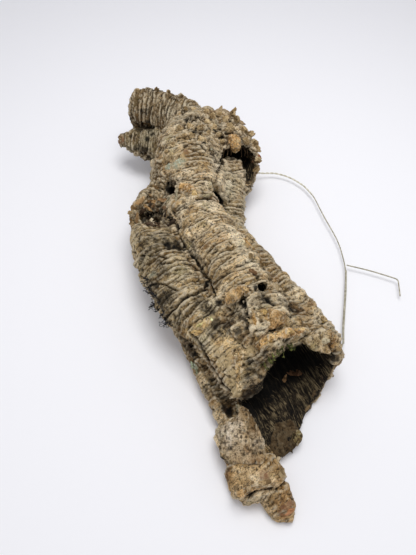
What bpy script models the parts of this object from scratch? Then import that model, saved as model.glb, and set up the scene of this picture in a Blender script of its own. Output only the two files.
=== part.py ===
"""Cork bark tube: the bark of a short forked cork oak branch, stripped off whole and lying on a flat surface,
with the stiff tie wire it is hung by.

Frame: metres, +Z up. The branch runs along Y, with its wide open mouth at -Y and its two broken stubs at +Y.
The origin is under the middle of bark and wire together, on the surface that they lie on.
"""
import math
import random

import bmesh
import bpy
from mathutils import Matrix, Vector

MM = 0.001

# Driving dimensions, in millimetres.
COLLAR_PITCH = 14.0
COLLAR_LIP = 4.0
LIMB_STEP = 2.5
VOXEL = 2.0
CUTTER_VOXEL = 3.0
CAP_WELD = 0.01
WIRE_DIAMETER = 1.3
WIRE_STEP = 4.0
TWIST_PITCH = 11.0
TWIST_STEP = 1.6
STRAND_OFFSET = 0.5
WIRE_CLEARANCE = 0.3
WIRE_WELD = 0.05

# Counts and shares: how far a collar's length strays from the pitch, faces round a limb and round a strand of wire.
COLLAR_SPREAD = (0.7, 1.5)
COLLAR_SEED = 7
LIMB_FACES = 20
STRAND_FACES = 8
BARK_TRIANGLES = 11400
NOISE_OCTAVES = 2

# How clouds of noise push each surface in and out: the breadth of a cloud and the whole depth, in millimetres.
GNARLS = (20, 6)
HOLLOW_GNARLS = (20, 4)
TONGUE_GNARLS = (12, 5)
TORN_JAGS = (9, 4)
BROKEN_JAGS = (9, 9)

# Each limb is a list of points on its axis, from the far end to the near one: x, y, height, radius, in millimetres.
TRUNK = {
    "left_lobe": [(-60, 118, 44, 12), (-74, 103, 44, 14), (-89, 90, 44, 17), (-95, 70, 44, 19), (-97, 40, 45, 22),
                  (-97, 10, 46, 24), (-94, -18, 46, 24), (-89, -40, 46, 23), (-79, -60, 46, 21), (-72, -85, 47, 19),
                  (-68, -106, 46, 18), (-67, -122, 43, 14), (-68, -136, 40, 11)],
    "middle_ridge": [(-50, 92, 52, 20), (-51, 70, 56, 23), (-49, 31, 58, 25), (-46, -8, 59, 25), (-43, -43, 58, 26),
                     (-41, -74, 57, 27), (-38, -103, 56, 28), (-34, -128, 54, 29)],
    "upper": [(-9, 172, 58, 25), (-14, 158, 59, 31), (-29, 135, 59, 34), (-37, 105, 58, 31), (-42, 75, 55, 27)],
    "high_stub": [(-66, 222, 67, 19), (-44, 210, 66, 21), (-24, 193, 63, 23), (-9, 174, 60, 25)],
    "low_stub": [(-91, 205, 39, 6), (-80, 200, 39, 10), (-70, 193, 39, 16), (-54, 184, 39, 20), (-24, 167, 41, 22)],
    "base_left": [(-70, 90, 30, 22), (-80, 60, 31, 27), (-80, 20, 32, 30), (-78, -10, 32, 31), (-75, -46, 31, 31),
                  (-68, -90, 30, 30), (-60, -140, 32, 31), (-56, -190, 34, 32)],
    "base_right": [(-8, 160, 31, 26), (-16, 117, 31, 30), (-32, 80, 30, 29), (-42, 40, 29, 28), (-40, 0, 29, 28),
                   (-32, -40, 30, 29), (-24, -80, 33, 33), (-18, -110, 36, 35), (-22, -135, 37, 36),
                   (-25, -160, 38, 38), (-28, -200, 38, 38)],
    "base_far": [(-34, 176, 34, 24), (-33, 149, 33, 33), (-44, 112, 33, 34), (-56, 80, 32, 30)],
    "ear": [(13, 179, 55, 16), (17, 166, 53, 25), (17, 140, 49, 28), (15, 116, 46, 27), (11, 102, 36, 22),
            (2, 88, 28, 17), (-8, 74, 24, 14), (-16, 60, 22, 12)],
}
RIGHT_BRANCH = {
    "right_lobe": [(11, 120, 42, 13), (6, 104, 42, 16), (0, 86, 41, 16), (-11, 61, 40, 16), (-24, 33, 38, 16),
                   (-20, 2, 39, 19), (-17, -27, 40, 20), (-8, -58, 40, 20), (-3, -88, 41, 20), (-4, -125, 42, 20)],
}
TONGUE = {
    "strip": [(-95, -24, 24, 15), (-92, -50, 22, 15), (-91, -80, 19, 14), (-90, -108, 17, 13), (-89, -130, 15, 12)],
    "upper_plate": [(-74, -124, 20, 5), (-80, -133, 18, 14), (-87, -147, 15, 19), (-88, -160, 12, 18)],
    "middle_plate": [(-84, -150, 12, 14), (-88, -168, 11, 18), (-87, -184, 9, 20), (-86, -193, 7, 18)],
    "tip_plate": [(-80, -178, 7, 12), (-79, -195, 7, 13), (-78, -208, 6, 12), (-80, -216, 5, 7)],
}
# Lumps of broken outer cork that stand up from the bark: on the upper limb, round the ear and by the mouth.
KNOBS = [(-29, 143, 87, 7), (-14, 150, 87, 8), (1, 149, 82, 8), (10, 138, 75, 8), (-18, 131, 90, 6), (-38, 132, 85, 7),
         (-46, 118, 82, 6), (6, 168, 76, 8), (19, 166, 72, 8), (20, 154, 73, 9), (30, 153, 66, 9), (29, 139, 69, 8),
         (37, 139, 60, 7), (35, 127, 64, 7), (38, 114, 56, 6),
         (-73, -52, 67, 6), (-56, -56, 80, 7), (-44, -67, 83, 7), (-36, -86, 83, 8), (-52, -92, 82, 8),
         (-66, -84, 70, 7), (-12, -70, 60, 6), (6, -86, 58, 6), (-10, -108, 68, 6)]

CAVITIES = {
    "bore": [(-20, 172, 54, 19), (-27, 140, 48, 24), (-35, 104, 45, 24), (-41, 64, 43, 23), (-40, 20, 42, 22),
             (-38, -20, 41, 23), (-36, -60, 41, 27), (-31, -95, 41, 30), (-28, -130, 41, 31), (-30, -170, 41, 32),
             (-32, -230, 41, 33)],
    "high_stub_bore": [(-100, 240, 69, 14), (-66, 222, 68, 15), (-44, 210, 67, 16), (-26, 194, 62, 17),
                       (-20, 172, 54, 18)],
    "middle_bore": [(-50, 60, 50, 15), (-47, 0, 52, 17), (-41, -60, 51, 18), (-36, -110, 51, 20)],
    "flap_hollow": [(-64, -60, 36, 10), (-68, -84, 31, 12), (-68, -108, 28, 13), (-64, -132, 28, 15),
                    (-60, -150, 34, 22), (-58, -180, 38, 26)],
}
EAR_CAVE = {
    "ear_cave": [(14, 158, 50, 12), (15, 140, 50, 19), (15, 118, 50, 21), (14, 104, 52, 21), (8, 88, 56, 20),
                 (0, 70, 60, 18)],
}
TORN_OPENINGS = {
    "torn_top": [(-66, 92, 78, 10), (-78, 88, 68, 12), (-89, 76, 62, 13), (-91, 62, 58, 11), (-92, 50, 52, 7)],
    "torn_top_hollow": [(-92, 78, 52, 11), (-97, 60, 45, 14), (-98, 40, 44, 12)],
    "knot_hole": [(-71, 65, 100, 6), (-63, 85, 66, 6), (-59, 96, 48, 5)],
    "ridge_hole": [(-36, -65, 92, 5), (-28, -45, 58, 4), (-25, -38, 46, 4)],
    "stub_notch": [(-62, 235, 96, 5), (-52, 212, 86, 4)],
    "stub_crease": [(-66, 200, 58, 5), (-57, 196, 58, 5), (-48, 190, 58, 5), (-38, 182, 60, 4)],
    "lobe_groove": [(-74, 62, 68, 5), (-73, 39, 64, 4), (-72, 19, 64, 4), (-70, -4, 64, 4), (-68, -24, 68, 4)],
    "flap_slit": [(-112, -48, 36, 3), (-104, -62, 38, 5), (-101, -78, 38, 7), (-98, -92, 37, 8), (-96, -106, 37, 8),
                  (-92, -119, 37, 9), (-86, -131, 35, 10), (-72, -142, 31, 10)],
}
# The rim of the mouth seen from the side, as (y, height): it leans back over the floor, which reaches further out.
MOUTH_RIM = [(-104, 120), (-108, 84), (-118, 60), (-128, 42), (-134, 24), (-147, 15), (-175, 11), (-260, 11),
             (-260, 120)]
MOUTH_SIDES = (-110, 80)
FLOOR_CUT_CENTRE = (-16, -262, 50)
FLOOR_CUT_SIZE = 200
FLOOR_CUT_TURN = math.radians(33)

# The wire's route: out of the ear's underside, along the surface beside the tube, and in again behind the mouth.
WIRE_IN_EAR = [(30, 127, 30), (35, 126, 26), (41, 125, 20)]
WIRE_TWISTED = [(46, 124, 16), (57, 123, 11), (72, 118, 10), (85, 107, 9), (94, 90, 9), (97, 74, 9)]
WIRE_PLAIN = [(97, 66, 9), (94, 40, 9), (91, 5, 9), (85, -18, 9), (79, -33, 9), (67, -53, 9), (54, -73, 9),
              (43, -90, 9), (34, -104, 12), (24, -111, 16), (14, -113, 21), (7, -114, 24)]
WIRE_DOUBLED = [(34, -104, 12), (43, -90, 9), (54, -73, 9), (67, -53, 9), (79, -33, 9)]
WIRE_SPUR = [(84, -27, 9), (103, -42, 9), (121, -58.5, 9), (122.4, -60.2, 9), (122.6, -62.4, 9), (115, -78, 8)]

# Where the origin is, in the frame of the points above. Its height is that of the surface, which the bark has worn
# flat against in patches.
ORIGIN = (0, 11, 2)

GROUND_SIZE = (500, 600, 100)
COLLECTION = "cork_bark_tube"

# Finishes: colour, roughness and metallic value.
BARK_FINISH = ((0.13, 0.085, 0.05, 1), 0.92, 0.0)
WIRE_FINISH = ((0.42, 0.42, 0.36, 1), 0.42, 1.0)


def clear_scene():
    for obj in list(bpy.data.objects):
        bpy.data.objects.remove(obj, do_unlink=True)


def smooth_path(points, step):
    """Points every `step` along a Catmull-Rom curve through `points`; every number of a point is carried along."""
    ends = [[2 * a - b for a, b in zip(points[0], points[1])], *points,
            [2 * a - b for a, b in zip(points[-1], points[-2])]]
    path = []
    for before, start, end, after in zip(ends, ends[1:], ends[2:], ends[3:]):
        count = max(1, round(math.dist(start[:3], end[:3]) / step))
        for i in range(count):
            t = i / count
            path.append([0.5 * (2 * b + (c - a) * t + (2 * a - 5 * b + 4 * c - d) * t * t
                                + (3 * b - a - 3 * c + d) * t ** 3)
                         for a, b, c, d in zip(before, start, end, after)])
    path.append(list(points[-1]))
    return path


def with_collars(path, seed):
    """Adds the bark's growth collars to each radius: it steps out at a lip, then falls away towards the near end."""
    chance = random.Random(seed)
    travelled, start, pitch = 0.0, 0.0, COLLAR_PITCH
    ringed = []
    for i, (x, y, z, radius) in enumerate(path):
        if i:
            travelled += math.dist(path[i - 1][:3], (x, y, z))
        if travelled - start > pitch:
            start, pitch = travelled, COLLAR_PITCH * chance.uniform(*COLLAR_SPREAD)
        ringed.append((x, y, z, radius + COLLAR_LIP * (0.5 - (travelled - start) / pitch)))
    return ringed


def mesh_object(name, fill):
    """A mesh object whose mesh is filled by `fill(bmesh)`."""
    work = bmesh.new()
    fill(work)
    mesh = bpy.data.meshes.new(name)
    work.to_mesh(mesh)
    work.free()
    obj = bpy.data.objects.new(name, mesh)
    bpy.context.scene.collection.objects.link(obj)
    return obj


def tube(name, path, faces=LIMB_FACES):
    """A tube along a path of (x, y, z, radius), as a mesh object with closed ends. It has an even number of faces
    round it, four or more."""
    data = bpy.data.curves.new(name, "CURVE")
    data.dimensions = "3D"
    data.bevel_depth = 1.0
    data.bevel_resolution = (faces - 4) // 2
    data.use_fill_caps = True
    spline = data.splines.new("POLY")
    spline.points.add(len(path) - 1)
    for point, (x, y, z, radius) in zip(spline.points, path):
        point.co = (x * MM, y * MM, z * MM, 1.0)
        point.radius = radius * MM
    curve = bpy.data.objects.new(name, data)
    bpy.context.scene.collection.objects.link(curve)
    mesh = bpy.data.meshes.new_from_object(curve.evaluated_get(bpy.context.evaluated_depsgraph_get()))
    bpy.data.objects.remove(curve, do_unlink=True)

    def weld_caps(work):
        work.from_mesh(mesh)
        bmesh.ops.remove_doubles(work, verts=work.verts, dist=CAP_WELD * MM)
        bmesh.ops.recalc_face_normals(work, faces=work.faces)

    return mesh_object(name, weld_caps)


def gathered(name, parts):
    """One object from several closed ones, which may overlap until they are fused."""
    def gather(work):
        for part in parts:
            work.from_mesh(part.data)

    whole = mesh_object(name, gather)
    for part in parts:
        bpy.data.objects.remove(part, do_unlink=True)
    return whole


def applied(obj):
    """The object with its modifiers made real."""
    bpy.context.view_layer.update()
    mesh = bpy.data.meshes.new_from_object(obj.evaluated_get(bpy.context.evaluated_depsgraph_get()))
    obj.modifiers.clear()
    obj.data = mesh
    return obj


def fused(obj, voxel):
    """Fuses what overlaps in the object by a voxel remesh."""
    modifier = obj.modifiers.new("Fuse", "REMESH")
    modifier.mode = "VOXEL"
    modifier.voxel_size = voxel * MM
    return applied(obj)


def weathered(obj, clouds, voxel=VOXEL):
    """Pushes the surface in and out by clouds of noise of a given (breadth, depth) in millimetres."""
    breadth, depth = clouds
    texture = bpy.data.textures.new("clouds", "CLOUDS")
    texture.noise_scale = breadth * MM
    texture.noise_depth = NOISE_OCTAVES
    modifier = obj.modifiers.new("Weather", "DISPLACE")
    modifier.texture = texture
    modifier.texture_coords = "GLOBAL"
    modifier.strength = depth * MM
    modifier.mid_level = 0.5
    return fused(applied(obj), voxel)


def limbs(name, table, ringed=True):
    """The limbs of a table as one closed body."""
    parts = []
    for i, (limb, points) in enumerate(table.items()):
        path = smooth_path(points, LIMB_STEP)
        parts.append(tube(limb, with_collars(path, COLLAR_SEED + i) if ringed else path))
    return fused(gathered(name, parts), VOXEL)


def combined(obj, other, operation):
    """The object with the other one cut from it, or joined to it."""
    modifier = obj.modifiers.new(operation.title(), "BOOLEAN")
    modifier.operation = operation
    modifier.object = other
    applied(obj)
    bpy.data.objects.remove(other, do_unlink=True)
    return obj


def cut(obj, cutter):
    return combined(obj, cutter, "DIFFERENCE")


def box(name, size, centre, turn=0.0):
    """A box of the given size in millimetres, turned about its upright axis."""
    def fill(work):
        bmesh.ops.create_cube(work, size=1.0)
        bmesh.ops.scale(work, verts=work.verts, vec=[side * MM for side in size])
        bmesh.ops.rotate(work, verts=work.verts, matrix=Matrix.Rotation(turn, 3, "Z"))
        bmesh.ops.translate(work, verts=work.verts, vec=[place * MM for place in centre])

    return mesh_object(name, fill)


def knobs():
    """The lumps of broken cork, as loose balls that a remesh then fuses to the bark."""
    def fill(work):
        for x, y, z, radius in KNOBS:
            ball = bmesh.ops.create_icosphere(work, subdivisions=2, radius=radius * MM)["verts"]
            bmesh.ops.translate(work, verts=ball, vec=(x * MM, y * MM, z * MM))

    return mesh_object("knobs", fill)


def mouth_cutter():
    """What is missing at the near end, above the floor."""
    low, high = MOUTH_SIDES

    def fill(work):
        face = work.faces.new([work.verts.new((low * MM, y * MM, z * MM)) for y, z in MOUTH_RIM])
        side = bmesh.ops.extrude_face_region(work, geom=[face])["geom"]
        for vert in (v for v in side if isinstance(v, bmesh.types.BMVert)):
            vert.co.x = high * MM
        bmesh.ops.recalc_face_normals(work, faces=work.faces)

    return weathered(fused(mesh_object("mouth_cutter", fill), CUTTER_VOXEL), BROKEN_JAGS, CUTTER_VOXEL)


def floor_cutter():
    """What is missing beyond the slanting broken end of the floor."""
    cutter = box("floor_cutter", [FLOOR_CUT_SIZE] * 3, FLOOR_CUT_CENTRE, FLOOR_CUT_TURN)
    return weathered(fused(cutter, CUTTER_VOXEL), BROKEN_JAGS, CUTTER_VOXEL)


def largest_body(obj):
    """Drops every loose scrap and sealed bubble: only the body with the most vertices stays."""
    work = bmesh.new()
    work.from_mesh(obj.data)
    waiting = set(work.verts)
    bodies = []
    while waiting:
        body = {waiting.pop()}
        edge_of_body = list(body)
        while edge_of_body:
            vert = edge_of_body.pop()
            for edge in vert.link_edges:
                other = edge.other_vert(vert)
                if other in waiting:
                    waiting.discard(other)
                    body.add(other)
                    edge_of_body.append(other)
        bodies.append(body)
    keep = max(bodies, key=len)
    bmesh.ops.delete(work, geom=[v for v in work.verts if v not in keep], context="VERTS")
    work.to_mesh(obj.data)
    work.free()
    return obj


def thinned(obj, triangles):
    """The object with about the given number of triangles, fewest where the surface is flattest."""
    obj.modifiers.new("Triangles", "TRIANGULATE")
    applied(obj)
    modifier = obj.modifiers.new("Thin", "DECIMATE")
    modifier.ratio = triangles / len(obj.data.polygons)
    return applied(obj)


def bark_tube():
    """The bark: swollen limbs grown together, hollow from the mouth to the high stub."""
    bark = limbs("trunk", TRUNK)
    bark = cut(bark, limbs("cave", EAR_CAVE, ringed=False))
    bark = fused(gathered("bark", [bark, limbs("right_branch", RIGHT_BRANCH), knobs()]), VOXEL)
    bark = weathered(bark, GNARLS)
    bark = cut(bark, weathered(limbs("cavities", CAVITIES, ringed=False), HOLLOW_GNARLS))
    bark = cut(bark, mouth_cutter())
    bark = cut(bark, floor_cutter())
    tongue = weathered(limbs("tongue", TONGUE, ringed=False), TONGUE_GNARLS)
    bark = fused(gathered("bark", [bark, tongue]), VOXEL)
    bark = cut(bark, weathered(limbs("torn", TORN_OPENINGS, ringed=False), TORN_JAGS))
    bark = thinned(largest_body(fused(bark, VOXEL)), BARK_TRIANGLES)
    bark.name = "bark_tube"
    return bark


def strand(name, route, widen=0.0):
    """One strand of the wire along a route of (x, y, z)."""
    radius = WIRE_DIAMETER / 2 + widen
    return tube(name, [(x, y, z, radius) for x, y, z in route], STRAND_FACES)


def twisted_round(route, phase):
    """A strand's route where it is twisted round another, which lies half a turn from it."""
    route = smooth_path(route, TWIST_STEP)
    travelled = 0.0
    coiled = []
    for i, point in enumerate(route):
        after, before = Vector(route[min(i + 1, len(route) - 1)]), Vector(route[max(i - 1, 0)])
        along = (after - before).normalized()
        side = along.cross(Vector((0, 0, 1))).normalized()
        turn = phase + math.tau * travelled / TWIST_PITCH
        travelled += (after - before).length / 2
        coiled.append(Vector(point) + STRAND_OFFSET * (math.cos(turn) * side + math.sin(turn) * along.cross(side)))
    return coiled


def wire_routes():
    """The routes of the wire's strands: one right through, one twisted round its far end, and one along its near end
    that turns off as the spur."""
    twist, partner = (twisted_round(WIRE_TWISTED, phase) for phase in (0.0, math.pi))
    through = smooth_path(WIRE_IN_EAR, WIRE_STEP) + twist + smooth_path(WIRE_PLAIN, WIRE_STEP)
    beside = [(x + 2 * STRAND_OFFSET, y, z) for x, y, z in smooth_path(WIRE_DOUBLED, WIRE_STEP)]
    return through, partner, beside + WIRE_SPUR


def hanging_wire():
    """The tie wire as one body."""
    through, partner, spur = wire_routes()
    wire = strand("hanging_wire", through)
    for name, route in (("partner", partner), ("spur", spur)):
        wire = combined(wire, strand(name, route), "UNION")
    work = bmesh.new()
    work.from_mesh(wire.data)
    bmesh.ops.remove_doubles(work, verts=work.verts, dist=WIRE_WELD * MM)
    bmesh.ops.dissolve_degenerate(work, edges=work.edges, dist=WIRE_WELD * MM)
    work.to_mesh(wire.data)
    work.free()
    return wire


def wire_seats():
    """What the wire leaves clear where it passes into the bark, a little wider and longer than the wire."""
    through = wire_routes()[0]
    for end, inner in ((0, 1), (-1, -2)):
        tip, back = Vector(through[end]), Vector(through[inner])
        through[end] = tip + (tip - back).normalized() * WIRE_CLEARANCE
    return strand("wire_seats", through, widen=WIRE_CLEARANCE)


def placed(obj, finish):
    """Moves the object's frame to the origin, gives it its material and puts it in the object's collection."""
    obj.data.transform(Matrix.Translation(Vector(ORIGIN) * -MM))
    colour, roughness, metallic = finish
    material = bpy.data.materials.new(obj.name)
    material.use_nodes = True
    shader = material.node_tree.nodes["Principled BSDF"]
    shader.inputs["Base Color"].default_value = colour
    shader.inputs["Roughness"].default_value = roughness
    shader.inputs["Metallic"].default_value = metallic
    obj.data.materials.clear()
    obj.data.materials.append(material)
    collection = bpy.data.collections.get(COLLECTION) or bpy.data.collections.new(COLLECTION)
    if COLLECTION not in bpy.context.scene.collection.children:
        bpy.context.scene.collection.children.link(collection)
    bpy.context.scene.collection.objects.unlink(obj)
    collection.objects.link(obj)


def main():
    clear_scene()
    bark = cut(bark_tube(), box("ground", GROUND_SIZE, (0, 0, ORIGIN[2] - GROUND_SIZE[2] / 2)))
    bark = largest_body(cut(bark, wire_seats()))
    placed(bark, BARK_FINISH)
    placed(hanging_wire(), WIRE_FINISH)


main()
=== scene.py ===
"""Cork bark tube: the looks of a grown, hollow piece of cork bark with its tie wire, on white paper."""
import math

import bmesh
import bpy
import numpy as np
from mathutils import Euler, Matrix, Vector
from mathutils.bvhtree import BVHTree


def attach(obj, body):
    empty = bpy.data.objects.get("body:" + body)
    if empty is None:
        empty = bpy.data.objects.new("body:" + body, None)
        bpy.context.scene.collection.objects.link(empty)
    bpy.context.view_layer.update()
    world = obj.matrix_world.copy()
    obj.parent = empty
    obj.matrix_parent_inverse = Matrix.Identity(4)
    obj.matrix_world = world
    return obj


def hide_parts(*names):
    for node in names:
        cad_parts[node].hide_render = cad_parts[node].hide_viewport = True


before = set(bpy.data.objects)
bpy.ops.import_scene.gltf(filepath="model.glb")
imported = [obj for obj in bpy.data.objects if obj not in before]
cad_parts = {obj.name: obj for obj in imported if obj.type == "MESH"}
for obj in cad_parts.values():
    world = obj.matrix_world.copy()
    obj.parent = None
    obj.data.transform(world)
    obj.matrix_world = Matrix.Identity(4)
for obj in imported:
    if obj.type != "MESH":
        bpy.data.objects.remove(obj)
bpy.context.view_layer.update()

bl_info = {
    "name": "Cork bark tube",
    "version": (1, 0, 0),
    "blender": (4, 5, 0),
    "location": "View3D > Sidebar > Cork tube",
    "description": "Bark, torn cork, lichen, moss, fibres and tie wire on a studio floor",
    "category": "Add Mesh",
}

MM = 0.001
BARK_NODE = "bark_tube"
WIRE_NODE = "hanging_wire"

# The camera, which stands where the photograph was taken from
CAMERA_PLACE = Vector((-0.146, -0.238, 0.398))
CAMERA_TURN = Euler((math.radians(33.0), 0.0, math.radians(-21.0)))
PHOTO_WIDTH, PHOTO_HEIGHT, PHOTO_FOCUS = 416.0, 555.0, 460.0
SENSOR_HEIGHT = 36.0

# The studio, in metres: a paper sweep that curves up behind the tube, and one soft light over it
SWEEP_FRONT, SWEEP_BACK, SWEEP_CURVE, SWEEP_TOP, SWEEP_HALF_WIDTH = -1.6, 1.1, 0.5, 1.8, 2.2
LIGHT_PLACE, LIGHT_AIM = (0.03, 0.02, 0.88), (-0.03, 0.0, 0.0)
LIGHT_LENGTH, LIGHT_WIDTH = 0.5, 0.4

# How finely the paths of the limbs and the wire are stepped, and how wide a loose plate's faces are
LIMB_STEP, WIRE_STEP, PLATE_GRID = 4 * MM, 2 * MM, 0.8 * MM
# Nothing is strewn nearer to the floor than the gap, and what would reach under the floor is pressed flat
FLOOR_GAP, FLOOR_PRESS = 3 * MM, 0.02

# Where the part's own origin lies in the tables of limbs, hollows and wire, in mm
TABLE_ORIGIN = (0.0, 11.0, 2.0)

# The limbs that the tube has grown from, as x, y, z and radius in mm, with the tone of the bark on each
LIMBS = (
    ("stem", ("#7c6e58", "#ecdec4", "#d6c9ae"), (
        (-80, 228, 68, 18), (-66, 222, 67, 19), (-44, 210, 66, 21), (-24, 193, 63, 23), (-10, 172, 59, 25),
        (-14, 158, 59, 31), (-29, 135, 59, 34), (-37, 105, 58, 31), (-42, 75, 55, 27), (-49, 31, 58, 25),
        (-46, -8, 59, 25), (-43, -43, 58, 26), (-41, -74, 57, 27), (-38, -103, 56, 28), (-34, -138, 54, 29))),
    ("low stub", ("#857e6a", "#908872", "#a39a82"), (
        (-98, 207, 39, 4), (-91, 205, 39, 6), (-80, 200, 39, 10), (-70, 193, 39, 16), (-54, 184, 39, 20),
        (-24, 167, 41, 22))),
    ("left lobe", ("#b0a286", "#c4b697", "#f2e0ba"), (
        (-60, 118, 44, 12), (-74, 103, 44, 14), (-89, 90, 44, 17), (-95, 70, 44, 19), (-97, 40, 45, 22),
        (-97, 10, 46, 24), (-94, -18, 46, 24), (-89, -40, 46, 23), (-79, -60, 46, 21), (-72, -85, 47, 19),
        (-68, -106, 46, 18), (-67, -122, 43, 14), (-68, -136, 40, 11))),
    ("ear", ("#bda585", "#bcab91", "#d4cdb8"), (
        (13, 179, 55, 16), (17, 166, 53, 25), (17, 140, 49, 28), (15, 116, 46, 27), (11, 102, 36, 22),
        (2, 88, 28, 17), (-8, 74, 24, 14), (-16, 60, 22, 12))),
    ("right lobe", ("#bab5a4", "#e0d4ba", "#f2e3c6"), (
        (11, 120, 42, 13), (6, 104, 42, 16), (0, 86, 41, 16), (-11, 61, 40, 16), (-24, 33, 38, 16),
        (-20, 2, 39, 19), (-17, -27, 40, 20), (-8, -58, 40, 20), (-3, -88, 41, 20), (-4, -125, 42, 20))),
    ("tongue", ("#b5a68a", "#ddceb2", "#d6be98"), (
        (-95, -24, 24, 15), (-92, -50, 22, 15), (-91, -80, 19, 14), (-90, -108, 17, 13), (-86, -133, 16, 15),
        (-87, -147, 15, 19), (-86, -168, 11, 21), (-80, -184, 8, 23), (-72, -200, 7, 20),
        (-68, -220, 5, 16))),
    ("left flank", ("#a39378", "#a4947a", "#bcab8e"), (
        (-70, 90, 30, 22), (-80, 60, 31, 27), (-80, 20, 32, 30), (-78, -10, 32, 31), (-75, -46, 31, 31),
        (-68, -90, 30, 30), (-60, -140, 32, 31))),
    ("right flank", ("#b3a48c", "#b5a68c", "#bcac92"), (
        (-8, 160, 31, 26), (-16, 117, 31, 30), (-32, 80, 30, 29), (-42, 40, 29, 28), (-40, 0, 29, 28),
        (-32, -40, 30, 29), (-24, -80, 33, 33), (-18, -110, 36, 35), (-22, -135, 37, 36), (-25, -160, 38, 38),
        (-28, -200, 38, 38))),
)

LIMB_NAMES = [name for name, _, _ in LIMBS]
RIGHT_LOBE = LIMB_NAMES.index("right lobe")
TONGUE = LIMB_NAMES.index("tongue")

# The hollows, in the same way
BORES = (
    ("bore", (
        (-66, 222, 68, 15), (-44, 210, 67, 16), (-26, 194, 62, 17), (-20, 172, 54, 19), (-27, 140, 48, 24),
        (-35, 104, 45, 24), (-41, 64, 43, 23), (-40, 20, 42, 22), (-38, -20, 41, 23), (-36, -60, 41, 27),
        (-31, -95, 41, 30), (-28, -130, 41, 31), (-30, -170, 41, 32), (-32, -230, 41, 33))),
    ("flap hollow", (
        (-64, -60, 36, 10), (-68, -84, 31, 12), (-68, -108, 28, 13), (-64, -132, 28, 15),
        (-60, -150, 34, 22))),
    ("ear cave", (
        (14, 158, 50, 12), (15, 140, 50, 19), (15, 122, 50, 19), (14, 112, 50, 14))),
)

# Spots that the photograph shows, as a pixel of it and a radius in mm
TORN_SPOTS = (
    (184, 111, 8), (194, 116, 10), (206, 124, 11), (218, 133, 9), (203, 139, 8), (224, 144, 6),
    (187, 124, 7), (228, 120, 9), (238, 130, 9), (248, 141, 9), (256, 155, 8), (186, 187, 6),
    (178, 190, 5), (140, 208, 9), (150, 212, 10), (160, 216, 10), (134, 214, 7), (168, 222, 7),
    (150, 200, 8), (162, 196, 8), (172, 183, 7), (160, 184, 8), (152, 192, 7), (145, 222, 6),
    (157, 226, 6), (158, 172, 5), (164, 178, 6), (252, 312, 5), (262, 318, 6), (246, 322, 5),
    (240, 300, 4), (240, 352, 5), (238, 365, 5), (237, 378, 4), (272, 336, 6), (285, 333, 6),
    (297, 331, 5), (249, 292, 4),
)
PALE_SPOTS = (
    (226, 362, 7), (232, 378, 7), (218, 350, 5), (236, 392, 5), (328, 340, 4), (243, 352, 5),
    (241, 364, 4), (240, 378, 4), (268, 340, 4), (280, 334, 4), (293, 331, 4), (262, 318, 5),
    (272, 322, 4), (200, 325, 4), (194, 331, 3), (203, 325, 4), (209, 320, 3), (258, 315, 5),
    (266, 320, 4), (248, 352, 4), (243, 362, 3), (239, 374, 3), (239, 386, 3), (236, 143, 4),
    (189, 188, 3), (285, 331, 3), (272, 336, 3),
)
RUST_SPOTS = (
    (253, 160, 3), (290, 508, 5), (238, 452, 3), (245, 453, 3), (262, 475, 4), (284, 512, 5),
    (120, 140, 6), (118, 142, 5), (265, 338, 3), (280, 333, 3), (297, 331, 3), (186, 152, 3),
    (227, 410, 3), (330, 324, 4),
)
MINT_SPOTS = (
    (176, 164, 6), (170, 167, 4), (181, 160, 4), (212, 149, 1.5), (193, 367, 3), (196, 374, 3),
    (152, 274, 4),
)
# Near-black flecks: dark bark in places, and painted shade in seams, slits and under overhangs
FLECK_AND_SHADE_SPOTS = (
    (150, 214, 5), (141, 218, 5), (160, 214, 5), (168, 218, 4), (243, 148, 6), (232, 154, 5),
    (207, 282, 3), (164, 133, 4), (173, 190, 3), (259, 288, 3), (168, 244, 6), (176, 246, 5),
    (182, 247, 4), (213, 313, 3), (293, 305, 4), (298, 309, 4), (292, 314, 3), (228, 327, 4),
    (216, 325, 4), (238, 331, 4), (243, 339, 3), (243, 305, 4), (245, 318, 3), (247, 329, 3),
    (246, 392, 4), (250, 396, 4), (224, 410, 3), (230, 414, 4), (217, 386, 3), (222, 384, 3),
    (199, 345, 4), (193, 352, 5), (187, 340, 4), (265, 298, 4), (258, 276, 3), (261, 268, 3),
    (189, 118, 4), (187, 123, 3), (198, 116, 3), (230, 143, 5), (183, 143, 3), (145, 150, 4),
    (150, 158, 4), (143, 112, 4), (148, 122, 4), (167, 298, 5), (160, 300, 5), (156, 285, 4),
)
# Near-black painted shade: inside the mouth and the ear, and in pits and cracks
NEAR_BLACK_SHADE_SPOTS = (
    (262, 392, 12), (270, 384, 14), (280, 376, 14), (290, 368, 14), (300, 362, 12), (272, 376, 14),
    (284, 362, 12), (296, 356, 11), (310, 360, 9), (266, 378, 10), (256, 402, 9), (250, 406, 8),
    (268, 396, 7), (318, 363, 6), (168, 190, 4), (172, 193, 4), (236, 153, 5), (243, 156, 6),
    (248, 162, 5), (230, 152, 4), (229, 412, 4), (247, 408, 5), (186, 119, 3), (188, 124, 2.5),
    (199, 116, 2.5), (215, 130, 3), (193, 134, 2), (205, 142, 2), (178, 141, 2), (222, 137, 2.5),
    (230, 124, 2), (240, 136, 2.5), (150, 216, 4), (144, 220, 3), (162, 215, 3.5), (136, 221, 2.5),
    (170, 219, 3), (156, 222, 3), (243, 304, 2), (245, 312, 2), (246, 320, 2), (248, 328, 2),
    (224, 329, 1.8), (231, 331, 1.5), (256, 287, 3.5), (262, 289, 3.5), (268, 298, 2.5), (273, 304, 2),
    (293, 308, 3), (202, 199, 1.5), (176, 245, 4), (168, 243, 4), (184, 248, 3), (240, 359, 1.5),
    (241, 366, 1.5), (206, 283, 2), (219, 302, 2.5), (190, 345, 2.5), (196, 354, 2.5), (203, 366, 2.5),
    (211, 380, 2.5), (262, 489, 1.5), (272, 488, 1.5), (282, 483, 1.5), (226, 456, 2), (147, 139, 2.5),
    (152, 134, 2),
)
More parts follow.
